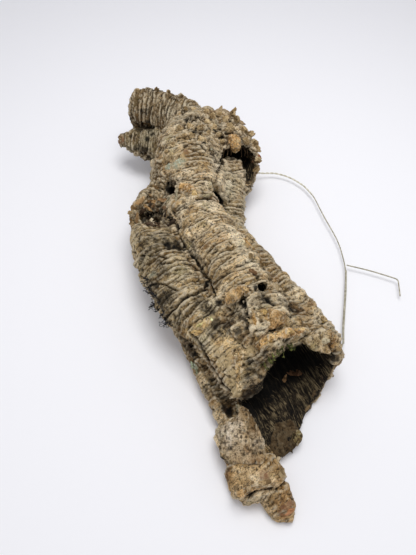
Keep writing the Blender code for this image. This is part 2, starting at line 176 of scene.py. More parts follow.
# Painted shade in patches: on the sides away from the light, under overhangs and round the mouth
SHADE_PATCH_SPOTS = (
    (262, 362, 6), (268, 354, 6), (275, 350, 6), (283, 346, 5), (291, 342, 4), (254, 378, 9),
    (250, 392, 8), (252, 366, 7), (246, 398, 7), (228, 330, 7), (240, 318, 6), (222, 322, 6),
    (164, 225, 9), (134, 218, 7), (200, 300, 7), (208, 314, 7), (143, 240, 12), (150, 255, 12),
    (160, 270, 9), (150, 285, 10), (165, 300, 12), (174, 322, 9), (184, 340, 8), (160, 238, 10),
    (172, 242, 8), (262, 300, 8), (290, 308, 9), (213, 150, 6), (216, 162, 6), (164, 150, 5),
    (190, 118, 8), (200, 128, 8), (232, 132, 7), (244, 145, 7), (206, 196, 6), (216, 325, 8),
    (232, 325, 8), (248, 372, 4), (246, 385, 4), (210, 392, 8), (224, 404, 8), (324, 356, 7),
    (333, 360, 6), (150, 112, 6), (140, 150, 8), (158, 210, 10), (146, 214, 8), (270, 278, 5),
)

# Cracks, as pixels of the photograph, with the width and depth in mm
CRACKS = (
    (((192, 334), (199, 346), (207, 360), (214, 372), (222, 385), (230, 394), (238, 401)), 2.4, 3.6),
    (((130, 252), (142, 256), (156, 254), (168, 258)), 1.6, 2.4),
    (((134, 292), (148, 286), (164, 284), (178, 290)), 1.5, 2.2),
    (((168, 216), (184, 208), (202, 208), (218, 216)), 1.4, 1.8),
    (((184, 246), (200, 236), (218, 236), (234, 246)), 1.4, 1.8),
    (((197, 198), (205, 199), (212, 197)), 2.2, 3.2),
    (((174, 212), (177, 226), (182, 240), (189, 252), (196, 261), (203, 269), (208, 280), (212, 291),
     (219, 302)), 1.5, 2.4),
    (((301, 341), (308, 335), (316, 330), (325, 322)), 1.8, 3.0),
    (((158, 135), (162, 132), (166, 131)), 2.4, 2.4),
    (((243, 358), (239, 361), (240, 366), (249, 365), (254, 361)), 1.5, 2.4),
    (((239, 368), (238, 378), (240, 388)), 1.2, 1.6),
    (((222, 458), (231, 462), (238, 456), (250, 453), (262, 454)), 1.6, 2.0),
    (((248, 497), (255, 490), (264, 489), (272, 489), (284, 482)), 2.4, 3.4),
    (((217, 429), (226, 423), (233, 419), (238, 412)), 1.6, 2.2),
    (((180, 301), (188, 296), (197, 292), (206, 289)), 1.8, 2.6),
    (((176, 321), (180, 311), (188, 303)), 1.6, 2.0),
    (((189, 329), (196, 322), (204, 316)), 1.4, 1.8),
    (((161, 264), (172, 262), (184, 260), (194, 262)), 1.4, 1.8),
    (((203, 272), (195, 266), (184, 262)), 1.6, 2.0),
    (((142, 270), (146, 264), (148, 258)), 1.8, 2.0),
    (((166, 243), (176, 242), (186, 249)), 2.2, 2.6),
    (((213, 284), (222, 276), (233, 271), (246, 268), (258, 270)), 1.3, 1.5),
    (((206, 258), (216, 252), (229, 247), (242, 246)), 1.3, 1.4),
    (((216, 234), (226, 233), (237, 232), (246, 236)), 1.2, 1.2),
    (((230, 286), (240, 283), (250, 281)), 1.3, 1.6),
    (((258, 290), (266, 296), (273, 304)), 2.6, 3.0),
    (((243, 298), (244, 308), (247, 320), (250, 331)), 2.6, 3.4),
    (((229, 309), (232, 314), (230, 318)), 1.8, 2.2),
    (((255, 331), (262, 331), (268, 328)), 1.4, 2.0),
    (((287, 303), (292, 310), (291, 318)), 1.6, 1.8),
    (((310, 342), (318, 337), (330, 333)), 1.2, 1.2),
    (((314, 347), (324, 344), (334, 341)), 1.2, 1.4),
    (((184, 146), (190, 143), (200, 144), (206, 150)), 1.4, 1.8),
    (((176, 180), (190, 180), (204, 184), (212, 190)), 1.4, 1.6),
    (((199, 124), (206, 130), (214, 133)), 1.6, 2.2),
    (((183, 126), (189, 118), (192, 114)), 2.4, 3.2),
    (((196, 117), (202, 116)), 2.2, 3.0),
    (((221, 160), (217, 170), (215, 184)), 1.8, 2.2),
    (((163, 100), (161, 112), (163, 124)), 1.4, 1.4),
    (((152, 100), (149, 112), (150, 123)), 1.4, 1.4),
    (((141, 97), (138, 110), (142, 124)), 1.3, 1.2),
)

# Plates of bark that stand out or are sunk: an outline in pixels, how far in mm, and how soft the edge is
PLATES = (
    (((196, 336), (206, 352), (213, 366), (220, 380), (230, 392), (237, 400), (253, 400), (257, 384),
     (260, 362), (250, 350), (232, 340), (214, 328)), 1.2, 1.8),
    (((239, 405), (245, 404), (250, 411), (256, 426), (264, 440), (261, 449), (262, 455), (250, 452),
     (240, 455), (232, 462), (222, 455), (217, 440), (215, 434), (218, 428), (226, 423), (233, 419),
     (238, 413)), 3.2, 1.2),
    (((231, 463), (238, 455), (250, 452), (262, 455), (270, 456), (279, 466), (285, 480), (278, 485),
     (268, 488), (256, 489), (250, 494), (241, 499), (235, 496), (229, 482), (227, 473)), 3.6, 1.2),
    (((303, 341), (312, 333), (325, 322), (334, 328), (341, 345), (338, 353), (325, 353), (312, 349)), 3.2,
     1.4),
    (((250, 312), (262, 308), (282, 310), (286, 326), (272, 331), (257, 329)), 1.5, 2.0),
    (((256, 342), (266, 334), (280, 329), (294, 328), (305, 331), (300, 337), (286, 336), (270, 342),
     (262, 351), (256, 349)), 2.4, 1.2),
    (((179, 183), (190, 184), (197, 190), (191, 196), (182, 195), (176, 188)), 2.2, 1.2),
    (((168, 205), (178, 194), (187, 195), (183, 205), (175, 213), (168, 216)), 1.5, 1.5),
    (((225, 296), (232, 289), (240, 284), (252, 287), (246, 297), (236, 305), (228, 304)), 2.2, 1.8),
    (((190, 331), (201, 322), (208, 317), (211, 323), (203, 329), (194, 334)), 1.8, 1.2),
    (((139, 256), (147, 257), (150, 262), (144, 269), (139, 271), (134, 266)), 1.8, 1.2),
    (((211, 318), (220, 314), (236, 318), (246, 326), (248, 340), (236, 340), (222, 332), (212, 326)), 1.2,
     2.0),
    (((176, 322), (182, 309), (192, 302), (206, 300), (204, 312), (192, 320), (186, 330)), 1.2, 2.0),
    (((250, 494), (258, 490), (270, 490), (284, 484), (283, 489), (270, 494), (258, 497)), -1.6, 1.0),
    (((219, 396), (230, 402), (235, 414), (227, 421), (222, 410)), -1.6, 2.0),
    (((160, 238), (172, 239), (184, 243), (186, 252), (174, 250), (162, 248)), -2.0, 3.0),
    (((200, 305), (210, 303), (213, 312), (206, 316), (199, 314)), -2.0, 2.0),
    (((288, 300), (298, 300), (301, 312), (292, 318), (287, 310)), -1.5, 2.0),
    (((141, 88), (152, 86), (151, 96), (146, 97)), -2.0, 2.0),
    (((246, 176), (262, 170), (262, 200), (252, 215), (243, 214), (244, 195)), -3.0, 2.0),
    (((216, 164), (226, 160), (232, 172), (232, 190), (228, 204), (220, 200), (215, 184)), 4.0, 3.0),
    (((150, 160), (164, 158), (168, 172), (162, 190), (150, 186), (146, 172)), 3.0, 3.0),
)

# Lumps of broken cork: a pixel, the lump's half width in mm, and how pale it is
LUMPS = (
    (219, 114, 3.2, 0.4), (225, 119, 4.0, 0.5), (232, 115, 3.8, 0.6), (236, 120, 4.4, 0.5),
    (229, 128, 4.6, 0.4), (243, 130, 4.4, 0.6), (250, 135, 4.2, 0.5), (253, 143, 4.0, 0.5),
    (257, 149, 3.6, 0.4), (258, 160, 3.4, 0.3), (256, 170, 3.2, 0.2), (236, 144, 5.0, 1.0),
    (246, 141, 4.0, 0.5), (212, 117, 3.2, 0.4), (206, 112, 2.8, 0.6), (214, 127, 3.4, 0.7),
    (207, 122, 3.4, 0.7), (200, 128, 3.2, 0.6), (190, 126, 3.0, 0.6), (180, 128, 3.2, 0.9),
    (201, 140, 3.4, 0.9), (208, 134, 3.0, 0.5), (219, 134, 3.4, 0.5), (194, 110, 2.6, 0.7),
    (173, 145, 3.0, 0.7), (167, 151, 2.8, 0.6), (185, 136, 2.8, 0.6), (222, 142, 3.2, 0.5),
    (192, 136, 2.8, 0.7), (186, 109, 2.6, 0.4), (138, 91, 2.8, 0.5), (156, 89, 2.6, 0.2),
    (168, 92, 2.6, 0.3), (120, 138, 2.2, 0.3), (260, 317, 2.8, 0.9), (252, 322, 2.6, 0.7),
    (239, 362, 2.0, 1.0), (239, 371, 2.0, 1.0), (238, 380, 1.9, 0.9), (240, 388, 1.8, 0.8),
    (244, 352, 2.4, 1.0), (236, 355, 2.2, 0.9), (322, 319, 2.4, 0.7), (249, 236, 2.4, 0.5),
    (246, 246, 2.4, 0.6), (250, 256, 2.2, 0.5), (131, 213, 2.6, 0.6), (133, 224, 2.4, 0.5),
)

# Flakes of bark: a pixel, length and width in mm, turn in the picture and lift in degrees, curl, tone
FLAKES = (
    (138, 203, 17, 6, 8, 24, 0.5, "#d6b384"), (150, 201, 15, 5, -6, 30, 0.6, "#be9c70"),
    (162, 200, 13, 6, 14, 26, 0.6, "#aa8964"), (133, 209, 12, 6, 60, 20, 0.5, "#cdae80"),
    (140, 213, 13, 4, 36, 34, 0.9, "#725d49"), (150, 209, 12, 4, 20, 40, 1.0, "#615041"),
    (158, 210, 14, 4, -12, 36, 0.9, "#78634c"), (165, 208, 12, 5, -28, 30, 0.8, "#8a7156"),
    (146, 218, 13, 4, 8, 32, 0.8, "#53473c"), (156, 218, 12, 4, -18, 34, 1.0, "#6f5b46"),
    (165, 217, 12, 4, 12, 28, 0.8, "#564a3f"), (137, 220, 10, 5, 70, 24, 0.6, "#aa8d67"),
    (132, 224, 10, 5, 84, 18, 0.5, "#c4a677"), (150, 224, 12, 4, 6, 26, 0.8, "#635243"),
    (160, 226, 12, 4, 2, 24, 0.7, "#856f5b"), (170, 224, 10, 4, 30, 26, 0.8, "#50453a"),
    (145, 206, 9, 3, -40, 46, 1.0, "#e9c18b"), (155, 205, 9, 3, 48, 44, 1.0, "#997c5b"),
    (193, 192, 9, 5, -50, 16, 0.4, "#efd299"), (156, 189, 9, 5, 62, 24, 0.6, "#dbba8e"),
    (150, 196, 9, 5, 44, 22, 0.6, "#c8a87c"), (176, 198, 15, 6, 52, 12, 0.3, "#c7bd9f"),
    (205, 196, 11, 4, 4, 18, 0.4, "#c7bc9c"), (219, 113, 9, 4, 66, 40, 0.5, "#bda681"),
    (232, 113, 10, 5, 40, 44, 0.5, "#ccb081"), (240, 121, 9, 4, -30, 40, 0.5, "#b49b7a"),
    (249, 132, 9, 4, -46, 40, 0.5, "#bfa581"), (256, 146, 8, 4, -70, 40, 0.5, "#aa9473"),
    (259, 157, 8, 4, -84, 30, 0.6, "#b8764f"), (258, 170, 8, 4, 80, 36, 0.6, "#988163"),
    (245, 150, 10, 4, 74, 30, 0.5, "#6c5b48"), (229, 150, 9, 3, 84, 28, 0.6, "#856d54"),
    (201, 325, 11, 5, 22, 22, 0.4, "#fff6b5"), (194, 332, 9, 4, 38, 24, 0.5, "#fbdb9a"),
    (208, 319, 8, 4, 8, 24, 0.4, "#ffffc7"), (262, 345, 9, 3, 38, 24, 0.4, "#e9c380"),
    (271, 340, 12, 4, 26, 20, 0.4, "#f9d38e"), (283, 333, 13, 4, 12, 18, 0.4, "#fbdb9f"),
    (295, 330, 12, 4, 0, 18, 0.4, "#f4d49c"), (257, 338, 8, 4, 60, 18, 0.4, "#ffe0a4"),
    (262, 313, 9, 5, 0, 14, 0.3, "#f7d897"), (275, 314, 9, 5, -10, 14, 0.3, "#dbc59a"),
    (255, 322, 8, 4, 90, 16, 0.4, "#e0b77a"), (240, 292, 10, 4, 28, 22, 0.4, "#e9ca95"),
    (230, 297, 9, 4, 44, 22, 0.4, "#dfc597"), (247, 284, 9, 3, 10, 22, 0.5, "#d6bc8e"),
    (224, 303, 8, 4, 60, 18, 0.4, "#cdb78e"), (322, 321, 9, 4, -28, 20, 0.5, "#eecf8b"),
    (332, 330, 9, 4, -50, 14, 0.4, "#cec19f"), (320, 341, 12, 5, 8, 10, 0.3, "#dacfb0"),
    (334, 347, 9, 4, -20, 16, 0.5, "#c7b089"), (318, 350, 10, 4, 4, 16, 0.5, "#b5a88e"),
    (290, 373, 11, 5, -24, 40, 0.6, "#86664e"), (298, 372, 9, 4, -6, 34, 0.6, "#977659"),
    (284, 381, 8, 3, 72, 40, 0.7, "#ac8964"), (297, 436, 11, 6, 74, 6, 0.2, "#cdc59f"),
    (239, 412, 13, 8, 82, 8, 0.15, "#dcd4b5"), (228, 424, 10, 4, 30, 14, 0.3, "#dfcfb0"),
    (218, 431, 9, 5, 42, 12, 0.3, "#cdbe9f"), (227, 457, 9, 4, -24, 14, 0.4, "#c4b492"),
    (236, 490, 9, 5, -40, 16, 0.4, "#dac59f"), (247, 489, 9, 4, 16, 16, 0.4, "#d6be97"),
    (262, 483, 10, 4, 8, 14, 0.3, "#ccb289"), (281, 474, 9, 4, 64, 8, 0.2, "#bfab86"),
    (288, 513, 8, 4, 24, 10, 0.2, "#c79067"), (141, 94, 9, 5, 62, 14, 0.4, "#aa9777"),
    (136, 104, 12, 5, 86, 10, 0.3, "#a49371"), (159, 88, 9, 4, 8, 18, 0.4, "#8a7d67"),
    (146, 262, 8, 6, 60, 18, 0.3, "#b0a284"), (140, 268, 8, 4, -50, 20, 0.4, "#aa9a77"),
    (192, 366, 9, 4, 66, 16, 0.4, "#bdcaab"), (197, 372, 8, 4, 40, 18, 0.4, "#b0bc9f"),
    (252, 271, 9, 4, -36, 16, 0.4, "#aa8969"), (246, 241, 9, 4, -52, 18, 0.4, "#d4b27f"),
    (241, 228, 9, 4, -40, 16, 0.4, "#c9b790"), (254, 250, 8, 4, -54, 16, 0.4, "#d6b481"),
    (190, 352, 9, 5, 62, 18, 0.5, "#756754"), (186, 343, 9, 4, 54, 20, 0.5, "#897860"),
    (300, 451, 8, 3, -70, 24, 0.5, "#726450"), (322, 380, 8, 3, 66, 26, 0.6, "#635747"),
    (313, 395, 8, 3, 54, 24, 0.5, "#857359"), (306, 410, 8, 3, 60, 22, 0.5, "#9b8564"),
    (330, 368, 8, 4, 50, 24, 0.5, "#766752"),
)

# Loose plates: name, outline, pixels of the bark under it, thickness and lift in mm, tone, and how torn
SLABS = (
    ("lower plate", ((238, 407), (243, 405), (249, 410), (254, 420), (258, 429), (264, 440), (263, 447),
     (265, 455), (262, 463), (240, 464), (230, 463), (222, 453), (217, 443), (215, 434), (219, 427),
     (227, 421), (235, 417), (238, 413)), ((228, 436), (236, 446), (240, 440)), 4.5, 1.0, "#c4b8a6", 0.0),
    ("knot plate", ((179, 182), (190, 183), (198, 189), (192, 196), (183, 195), (176, 188)), ((184, 186),
     (190, 190)), 3.6, 1.2, "#e2bd84", 0.4),
    ("rim plate left", ((255, 347), (263, 337), (275, 331), (281, 336), (271, 343), (261, 352)),
     ((265, 341), (272, 336)), 3.4, 1.0, "#efcc94", 0.25),
    ("rim plate right", ((275, 331), (290, 328), (305, 331), (299, 337), (289, 338), (279, 338)),
     ((284, 333), (295, 332)), 3.4, 1.0, "#ecc997", 0.25),
    ("ridge block", ((251, 312), (262, 308), (276, 310), (284, 314), (284, 324), (272, 329), (258, 328)),
     ((262, 316), (274, 320)), 4.2, 1.2, "#cfb185", 0.3),
    ("ridge lip", ((225, 299), (232, 290), (241, 285), (252, 286), (247, 293), (237, 300), (229, 305)),
     ((234, 295), (244, 290)), 3.8, 1.2, "#c7ac82", 0.2),
    ("pale patch", ((190, 331), (200, 322), (208, 317), (211, 322), (203, 329), (194, 334)), ((198, 327),
     (206, 321)), 2.6, 0.8, "#dfc48e", 0.3),
    ("flap edge", ((235, 349), (242, 346), (246, 352), (242, 362), (241, 374), (242, 388), (237, 390),
     (235, 376), (236, 362)), ((240, 356), (239, 370), (239, 382)), 2.6, 0.8, "#f2d6a0", 0.5),
    ("tan block", ((228, 137), (236, 135), (241, 141), (240, 149), (233, 152), (228, 146)), ((232, 140),
     (236, 142)), 7.0, 2.4, "#d8b27a", 0.3),
    ("lower lip", ((235, 494), (245, 489), (255, 486), (268, 484), (282, 477), (286, 481), (272, 489),
     (258, 491), (247, 497), (240, 500)), ((250, 488), (266, 485)), 3.0, 1.0, "#d0b48c", 0.2),
    ("end plate", ((303, 341), (312, 333), (325, 322), (334, 328), (341, 343), (337, 352), (325, 353),
     (312, 349)), ((314, 340), (324, 332), (328, 344)), 4.4, 0.8, "#c6b698", 0.0),
    ("floor flange", ((274, 424), (290, 419), (298, 425), (302, 434), (300, 442), (296, 449), (289, 453),
     (283, 457), (276, 456), (270, 448)), ((280, 432), (276, 440)), 3.0, 0.3, "#453a2b", 0.2),
    ("edge plate", ((293, 430), (300, 429), (303, 436), (301, 442), (297, 447), (293, 445), (291, 437)),
     ((284, 430), (282, 436)), 3.2, 1.0, "#8f876a", 0.0),
)

# Black beard lichen, moss under the arch, and the columns where fibres hang in the ear: pixels
TUFTS = (
    (150, 286), (152, 292), (156, 297), (160, 301), (154, 306), (159, 309), (163, 313), (165, 318),
    (168, 323), (148, 281),
)
MOSS_SPOTS = (
    (266, 367), (270, 362), (274, 358), (279, 354), (284, 351), (289, 349), (293, 348),
)
CAVE_FIBRES = (221, 224, 227, 230, 233, 236, 239, 242, 245, 248)

# The tie wire, as x, y and z in mm
TWISTED = (
    (30, 127, 30), (35, 126, 26), (41, 125, 20), (46, 124, 16), (57, 123, 11), (72, 118, 10), (85, 107, 9),
    (94, 90, 9), (97, 74, 9))
PLAIN = (
    (97, 74, 9), (97, 66, 9), (94, 40, 9), (91, 5, 9), (85, -18, 9), (79, -33, 9), (67, -53, 9), (54, -73, 9),
    (43, -90, 9), (34, -104, 12), (24, -111, 16), (14, -113, 21), (7, -114, 24))
DOUBLED = ((35, -104, 12), (44, -90, 9), (55, -73, 9), (68, -53, 9), (80, -33, 9))
SPUR = (
    (84, -27, 9), (103, -42, 9), (121, -58.5, 9), (122.4, -60.2, 9), (122.6, -62.4, 9), (115, -78, 8))


def to_linear(hex_colour):
    """A colour written as sRGB hex, as the linear values that a node takes."""
    parts = [int(hex_colour[i:i + 2], 16) / 255 for i in (1, 3, 5)]
    return tuple(v / 12.92 if v <= 0.04045 else ((v + 0.055) / 1.055) ** 2.4 for v in parts) + (1.0,)


def add_node(tree, kind, inputs=None, **settings):
    """Adds a node. inputs maps a socket's name or number to a value, a socket or a node to link."""
    node = tree.nodes.new(kind)
    for name, value in settings.items():
        setattr(node, name, value)
    for key, value in (inputs or {}).items():
        if isinstance(value, bpy.types.Node):
            value = next(output for output in value.outputs if output.enabled)
        if isinstance(value, bpy.types.NodeSocket):
            tree.links.new(value, node.inputs[key])
        else:
            node.inputs[key].default_value = value
    return node


def set_ramp(node, *stops):
    """Sets a colour ramp's stops, each a place from 0 to 1 and a hex colour."""
    elements = node.color_ramp.elements
    while len(elements) < len(stops):
        elements.new(0.5)
    for element, (place, colour) in zip(elements, stops):
        element.position = place
        element.color = to_linear(colour)
    return node


def placed(points):
    """Points of the tables above, in metres in the part's own frame."""
    table = np.array(points, dtype=float)
    table[:, :3] -= TABLE_ORIGIN
    return table * MM


def smooth_path(points, step):
    """A table's points joined by a smooth curve, with a point about every step metres."""
    points = np.asarray(points, dtype=float)
    ends = np.vstack((2 * points[0] - points[1], points, 2 * points[-1] - points[-2]))
    path = []
    for i in range(1, len(ends) - 2):
        before, start, stop, after = ends[i - 1:i + 3]
        count = max(1, int(np.linalg.norm((stop - start)[:3]) / step))
        for t in np.arange(count) / count:
            bend = 2 * before - 5 * start + 4 * stop - after
            twist = 3 * start - before - 3 * stop + after
            path.append(0.5 * (2 * start + (stop - before) * t + bend * t ** 2 + twist * t ** 3))
    path.append(points[-1])
    return np.array(path)


def hashed(cells, seed):
    """A fixed number from -1 to 1 for each row of whole numbers."""
    cells = np.asarray(cells).astype(np.int64).astype(np.uint32)
    mixed = cells[:, 0] * np.uint32(374761393) + cells[:, 1] * np.uint32(668265263)
    mixed = mixed + cells[:, 2] * np.uint32(2246822519) + np.uint32(seed * 3266489917 % 2 ** 32)
    mixed = (mixed ^ (mixed >> np.uint32(15))) * np.uint32(2246822519)
    mixed = (mixed ^ (mixed >> np.uint32(13))) * np.uint32(3266489917)
    return (mixed ^ (mixed >> np.uint32(16))).astype(np.float64) / 2 ** 31 - 1


def noise(points, size, seed):
    """Smooth noise from -1 to 1, with one swell about every size metres. size may be one for each axis."""
    cell = points / np.asarray(size)
    low = np.floor(cell)
    part = cell - low
    part = part * part * (3 - 2 * part)
    total = np.zeros(len(points))
    for corner in np.ndindex(2, 2, 2):
        weight = np.ones(len(points))
        for axis in range(3):
            weight = weight * (part[:, axis] if corner[axis] else 1 - part[:, axis])
        total += weight * hashed(low + corner, seed)
    return total


def chunks(points, size, seed):
    """Crumbs about size metres wide: each point's crumb, from -1 to 1, and how far off its edge is."""
    cell = points / np.asarray(size)
    low = np.floor(cell)
    nearest = np.full(len(points), 9.0)
    second = np.full(len(points), 9.0)
    crumb = np.zeros(len(points))
    for corner in np.ndindex(3, 3, 3):
        other = low + (np.array(corner) - 1)
        centre = other + 0.5 + 0.45 * np.stack([hashed(other, seed + k) for k in range(3)], axis=1)
        away = np.linalg.norm(cell - centre, axis=1)
        second = np.minimum(second, np.maximum(away, nearest))
        crumb = np.where(away < nearest, hashed(other, seed + 7), crumb)
        nearest = np.minimum(nearest, away)
    return crumb, second - nearest


def step_up(values, low, high):
    """0 below low, 1 above high, and smooth between."""
    t = np.clip((values - low) / (high - low), 0, 1)
    return t * t * (3 - 2 * t)


def averaged(values, edges, rounds):
    """Each vertex's value averaged with its neighbours', as many times over as rounds says."""
    values = np.array(values, dtype=float)
    flat = values.reshape(len(values), -1)
    count = np.bincount(edges.ravel(), minlength=len(values)) + 1.0
    for _ in range(rounds):
        total = flat.copy()
        for column in range(flat.shape[1]):
            total[:, column] += np.bincount(edges[:, 0], flat[edges[:, 1], column], len(values))
            total[:, column] += np.bincount(edges[:, 1], flat[edges[:, 0], column], len(values))
        flat = total / count[:, None]
    return flat.reshape(values.shape)


def read_vertices(mesh, what="co"):
    """A mesh's vertex places, or its normals, as an array."""
    table = np.empty(len(mesh.vertices) * 3)
    if what == "normal":
        mesh.vertex_normals.foreach_get("vector", table)
    else:
        mesh.vertices.foreach_get("co", table)
    return table.reshape(-1, 3)


def along(points, path):
    """Each point's place along a path and across it, its height over the skin, the centre there, and t."""
    centres, radii = path[:, :3], path[:, 3]
    tangents = np.gradient(centres, axis=0)
    tangents /= np.linalg.norm(tangents, axis=1)[:, None]
    length = np.concatenate(([0], np.cumsum(np.linalg.norm(np.diff(centres, axis=0), axis=1))))
    sides = np.cross(tangents, (0, 0, 1))
    sides /= np.linalg.norm(sides, axis=1)[:, None]
    ups = np.cross(sides, tangents)
    nearest = np.empty(len(points), dtype=int)
    # In blocks, so that the table of distances stays small
    size = 20000
    for start in range(0, len(points), size):
        block = points[start:start + size]
        square = ((block[:, None, :] - centres[None]) ** 2).sum(axis=2)
        nearest[start:start + size] = np.argmin(np.sqrt(square) - radii[None], axis=1)
    away = points - centres[nearest]
    place = length[nearest] + (away * tangents[nearest]).sum(axis=1)
    across = np.stack(((away * sides[nearest]).sum(axis=1), (away * ups[nearest]).sum(axis=1)), axis=1)
    skin = np.linalg.norm(away, axis=1) - radii[nearest]
    return place, across, skin, centres[nearest], nearest / (len(path) - 1)


def bark_grain(points, normals, edges):
    """Each point's three grain coordinates, its limb's tone and number, and whether it is a hollow's wall."""
    grain = np.zeros((len(points), 3))
    tone = np.zeros((len(points), 3))
    limb = np.zeros(len(points))
    best = np.full(len(points), 9.0)
    for number, (_, tones, table) in enumerate(LIMBS):
        place, across, skin, _, t = along(points, smooth_path(placed(table), LIMB_STEP))
        stops = np.array([to_linear(c)[:3] for c in tones])
        colour = np.stack([np.interp(t, (0, 0.5, 1), stops[:, k]) for k in range(3)], axis=1)
        near = skin < best
        best[near] = skin[near]
        grain[near] = np.column_stack((place + number * 0.7, across))[near]
        tone[near] = colour[near]
        limb[near] = number
    # Nothing on the right lobe or the tongue counts as a hollow's wall
    inside = np.zeros(len(points))
    skinned = (limb == RIGHT_LOBE) | (limb == TONGUE)
    best = np.full(len(points), 9.0)
    for number, (_, table) in enumerate(BORES):
        place, across, skin, centre, _ = along(points, smooth_path(placed(table), LIMB_STEP))
        inward = centre - points
        length = np.linalg.norm(inward, axis=1)
        faces_in = (normals * inward).sum(axis=1) / np.maximum(length, 1e-6)
        wall = (faces_in > 0.12) & (skin < 0.011) & ~skinned & (skin < best)
        best[wall] = skin[wall]
        grain[wall] = np.column_stack((place + 9 + number, across))[wall]
        inside[wall] = 1
    inside = step_up(averaged(inside, edges, 3), 0.35, 0.65)
    return grain, averaged(tone, edges, 6), limb, inside


def view_ray(px, py):
    """The direction in which the camera sees this pixel of the photograph."""
    ray = Vector(((px - PHOTO_WIDTH / 2) / PHOTO_FOCUS, (PHOTO_HEIGHT / 2 - py) / PHOTO_FOCUS, -1.0))
    ray.rotate(CAMERA_TURN)
    return ray.normalized()


def seen_at(tree, px, py):
    """The point of the bark that the camera sees at this pixel, and the way its surface faces."""
    ray = view_ray(px, py)
    place, normal, _, _ = tree.ray_cast(CAMERA_PLACE, ray)
    if place is None:
        # Just off the edge: the bark nearest to the line of sight
        tries = [tree.find_nearest(CAMERA_PLACE + ray * away) for away in np.arange(0.3, 0.95, 0.004)]
        place, normal, _, gap = min(tries, key=lambda found: found[3])
        if gap > 0.012:
            raise RuntimeError(f"the camera sees no bark at pixel {px}, {py}")
    return place, normal


def in_photograph(points):
    """Where the camera sees each point, in pixels of the photograph."""
    turn = np.array(CAMERA_TURN.to_matrix())
    seen = (points - np.array(CAMERA_PLACE)) @ turn
    return np.column_stack((PHOTO_WIDTH / 2 - PHOTO_FOCUS * seen[:, 0] / seen[:, 2],
                            PHOTO_HEIGHT / 2 + PHOTO_FOCUS * seen[:, 1] / seen[:, 2]))


def in_sight(points, normals, tree, edges):
    """1 where the camera sees the point and 0 where something hides it, softened a little."""
    towards = np.array(CAMERA_PLACE) - points
    seen = ((towards * normals).sum(axis=1) > 0).astype(float)
    for i in np.flatnonzero(seen):
        ray = Vector(-towards[i])
        away = ray.length
        hit = tree.ray_cast(CAMERA_PLACE, ray.normalized(), away - 0.003)
        if hit[0] is not None:
            seen[i] = 0
    return step_up(averaged(seen, edges, 2), 0.3, 0.8)


def within(pixels, outline, soft):
    """How far inside an outline each pixel lies: 0 outside, rising to 1 at soft pixels in."""
    corners = np.array(outline, dtype=float)
    inside = np.zeros(len(pixels), dtype=bool)
    away = np.full(len(pixels), 1e9)
    for start, stop in zip(corners, np.roll(corners, -1, axis=0)):
        run = stop - start
        t = np.clip(((pixels - start) @ run) / (run @ run), 0, 1)
        away = np.minimum(away, np.linalg.norm(pixels - (start + t[:, None] * run), axis=1))
        if start[1] != stop[1]:
            crosses = (pixels[:, 1] < start[1]) != (pixels[:, 1] < stop[1])
            inside ^= crosses & (pixels[:, 0] < start[0] + (pixels[:, 1] - start[1]) * run[0] / run[1])
    return step_up(np.where(inside, away, -away), -0.3 * soft, soft)


def spots(points, tree, marks, seed):
    """How strongly each point lies in one of the marked spots, from 0 to 1, with a ragged edge."""
    ragged = 1 + 0.45 * noise(points, 0.006, seed) + 0.25 * noise(points, 0.0025, seed + 1)
    weight = np.zeros(len(points))
    for px, py, radius in marks:
        centre = np.array(seen_at(tree, px, py)[0])
        away = np.linalg.norm(points - centre, axis=1) * ragged / (radius * MM)
        weight = np.maximum(weight, 1 - step_up(away, 0.65, 1.15))
    return weight


def crack_depth(points, tree):
    """How deep the cracks cut at each point, in metres."""
    wobble = np.stack([noise(points, 0.007, 70 + k) for k in range(3)], axis=1) * 0.0012
    depth = np.zeros(len(points))
    for pixels, width, deep in CRACKS:
        line = [np.array(seen_at(tree, px, py)[0]) for px, py in pixels]
        for start, stop in zip(line, line[1:]):
            run = stop - start
            t = np.clip(((points + wobble - start) @ run) / max(run @ run, 1e-9), 0, 1)
            away = np.linalg.norm(points + wobble - (start + t[:, None] * run), axis=1)
            depth = np.maximum(depth, deep * MM * (1 - step_up(away, 0.25 * width * MM, 1.2 * width * MM)))
    return depth


def new_object(name, mesh):
    """A new object in the scene, at the origin."""
    obj = bpy.data.objects.new(name, mesh)
    bpy.context.scene.collection.objects.link(obj)
    return obj


def merged_copy(node, name):
    """A copy of a CAD node's mesh with its loose triangles joined."""
    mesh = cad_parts[node].data.copy()
    mesh.name = name
    shape = bmesh.new()
    shape.from_mesh(mesh)
    bmesh.ops.remove_doubles(shape, verts=shape.verts, dist=1e-6)
    shape.to_mesh(mesh)
    shape.free()
    mesh.materials.clear()
    return mesh


def applied(obj):
    """Turns an object with modifiers into a plain mesh, and takes the modifiers off."""
    solid = bpy.data.meshes.new_from_object(obj.evaluated_get(bpy.context.evaluated_depsgraph_get()))
    obj.modifiers.clear()
    obj.data = solid
    return obj


def set_attribute(mesh, name, values, kind="FLOAT"):
    """Keeps one number, vector or colour for each vertex under a name."""
    attribute = mesh.attributes.new(name, kind, "POINT")
    values = np.asarray(values, dtype=float)
    if kind == "FLOAT_COLOR":
        values = np.column_stack((values, np.ones(len(values))))
    field = {"FLOAT": "value", "FLOAT_VECTOR": "vector", "FLOAT_COLOR": "color"}[kind]
    attribute.data.foreach_set(field, values.ravel())


def write_vertices(mesh, places):
    """Moves a mesh's vertices."""
    mesh.vertices.foreach_set("co", places.ravel())
    mesh.update()


def shade_smooth(mesh):
    """Shades every face of a mesh as part of one curved skin."""
    mesh.polygons.foreach_set("use_smooth", np.ones(len(mesh.polygons), dtype=bool))


def remeshed(obj, width):
    """Remakes an object as one closed skin with faces width metres wide, and gives its mesh and edges."""
    remesh = obj.modifiers.new("fine grid", "REMESH")
    remesh.mode = "VOXEL"
    remesh.voxel_size = width
    applied(obj)
    edges = np.empty(len(obj.data.edges) * 2, dtype=np.int64)
    obj.data.edges.foreach_get("vertices", edges)
    return obj.data, edges.reshape(-1, 2)


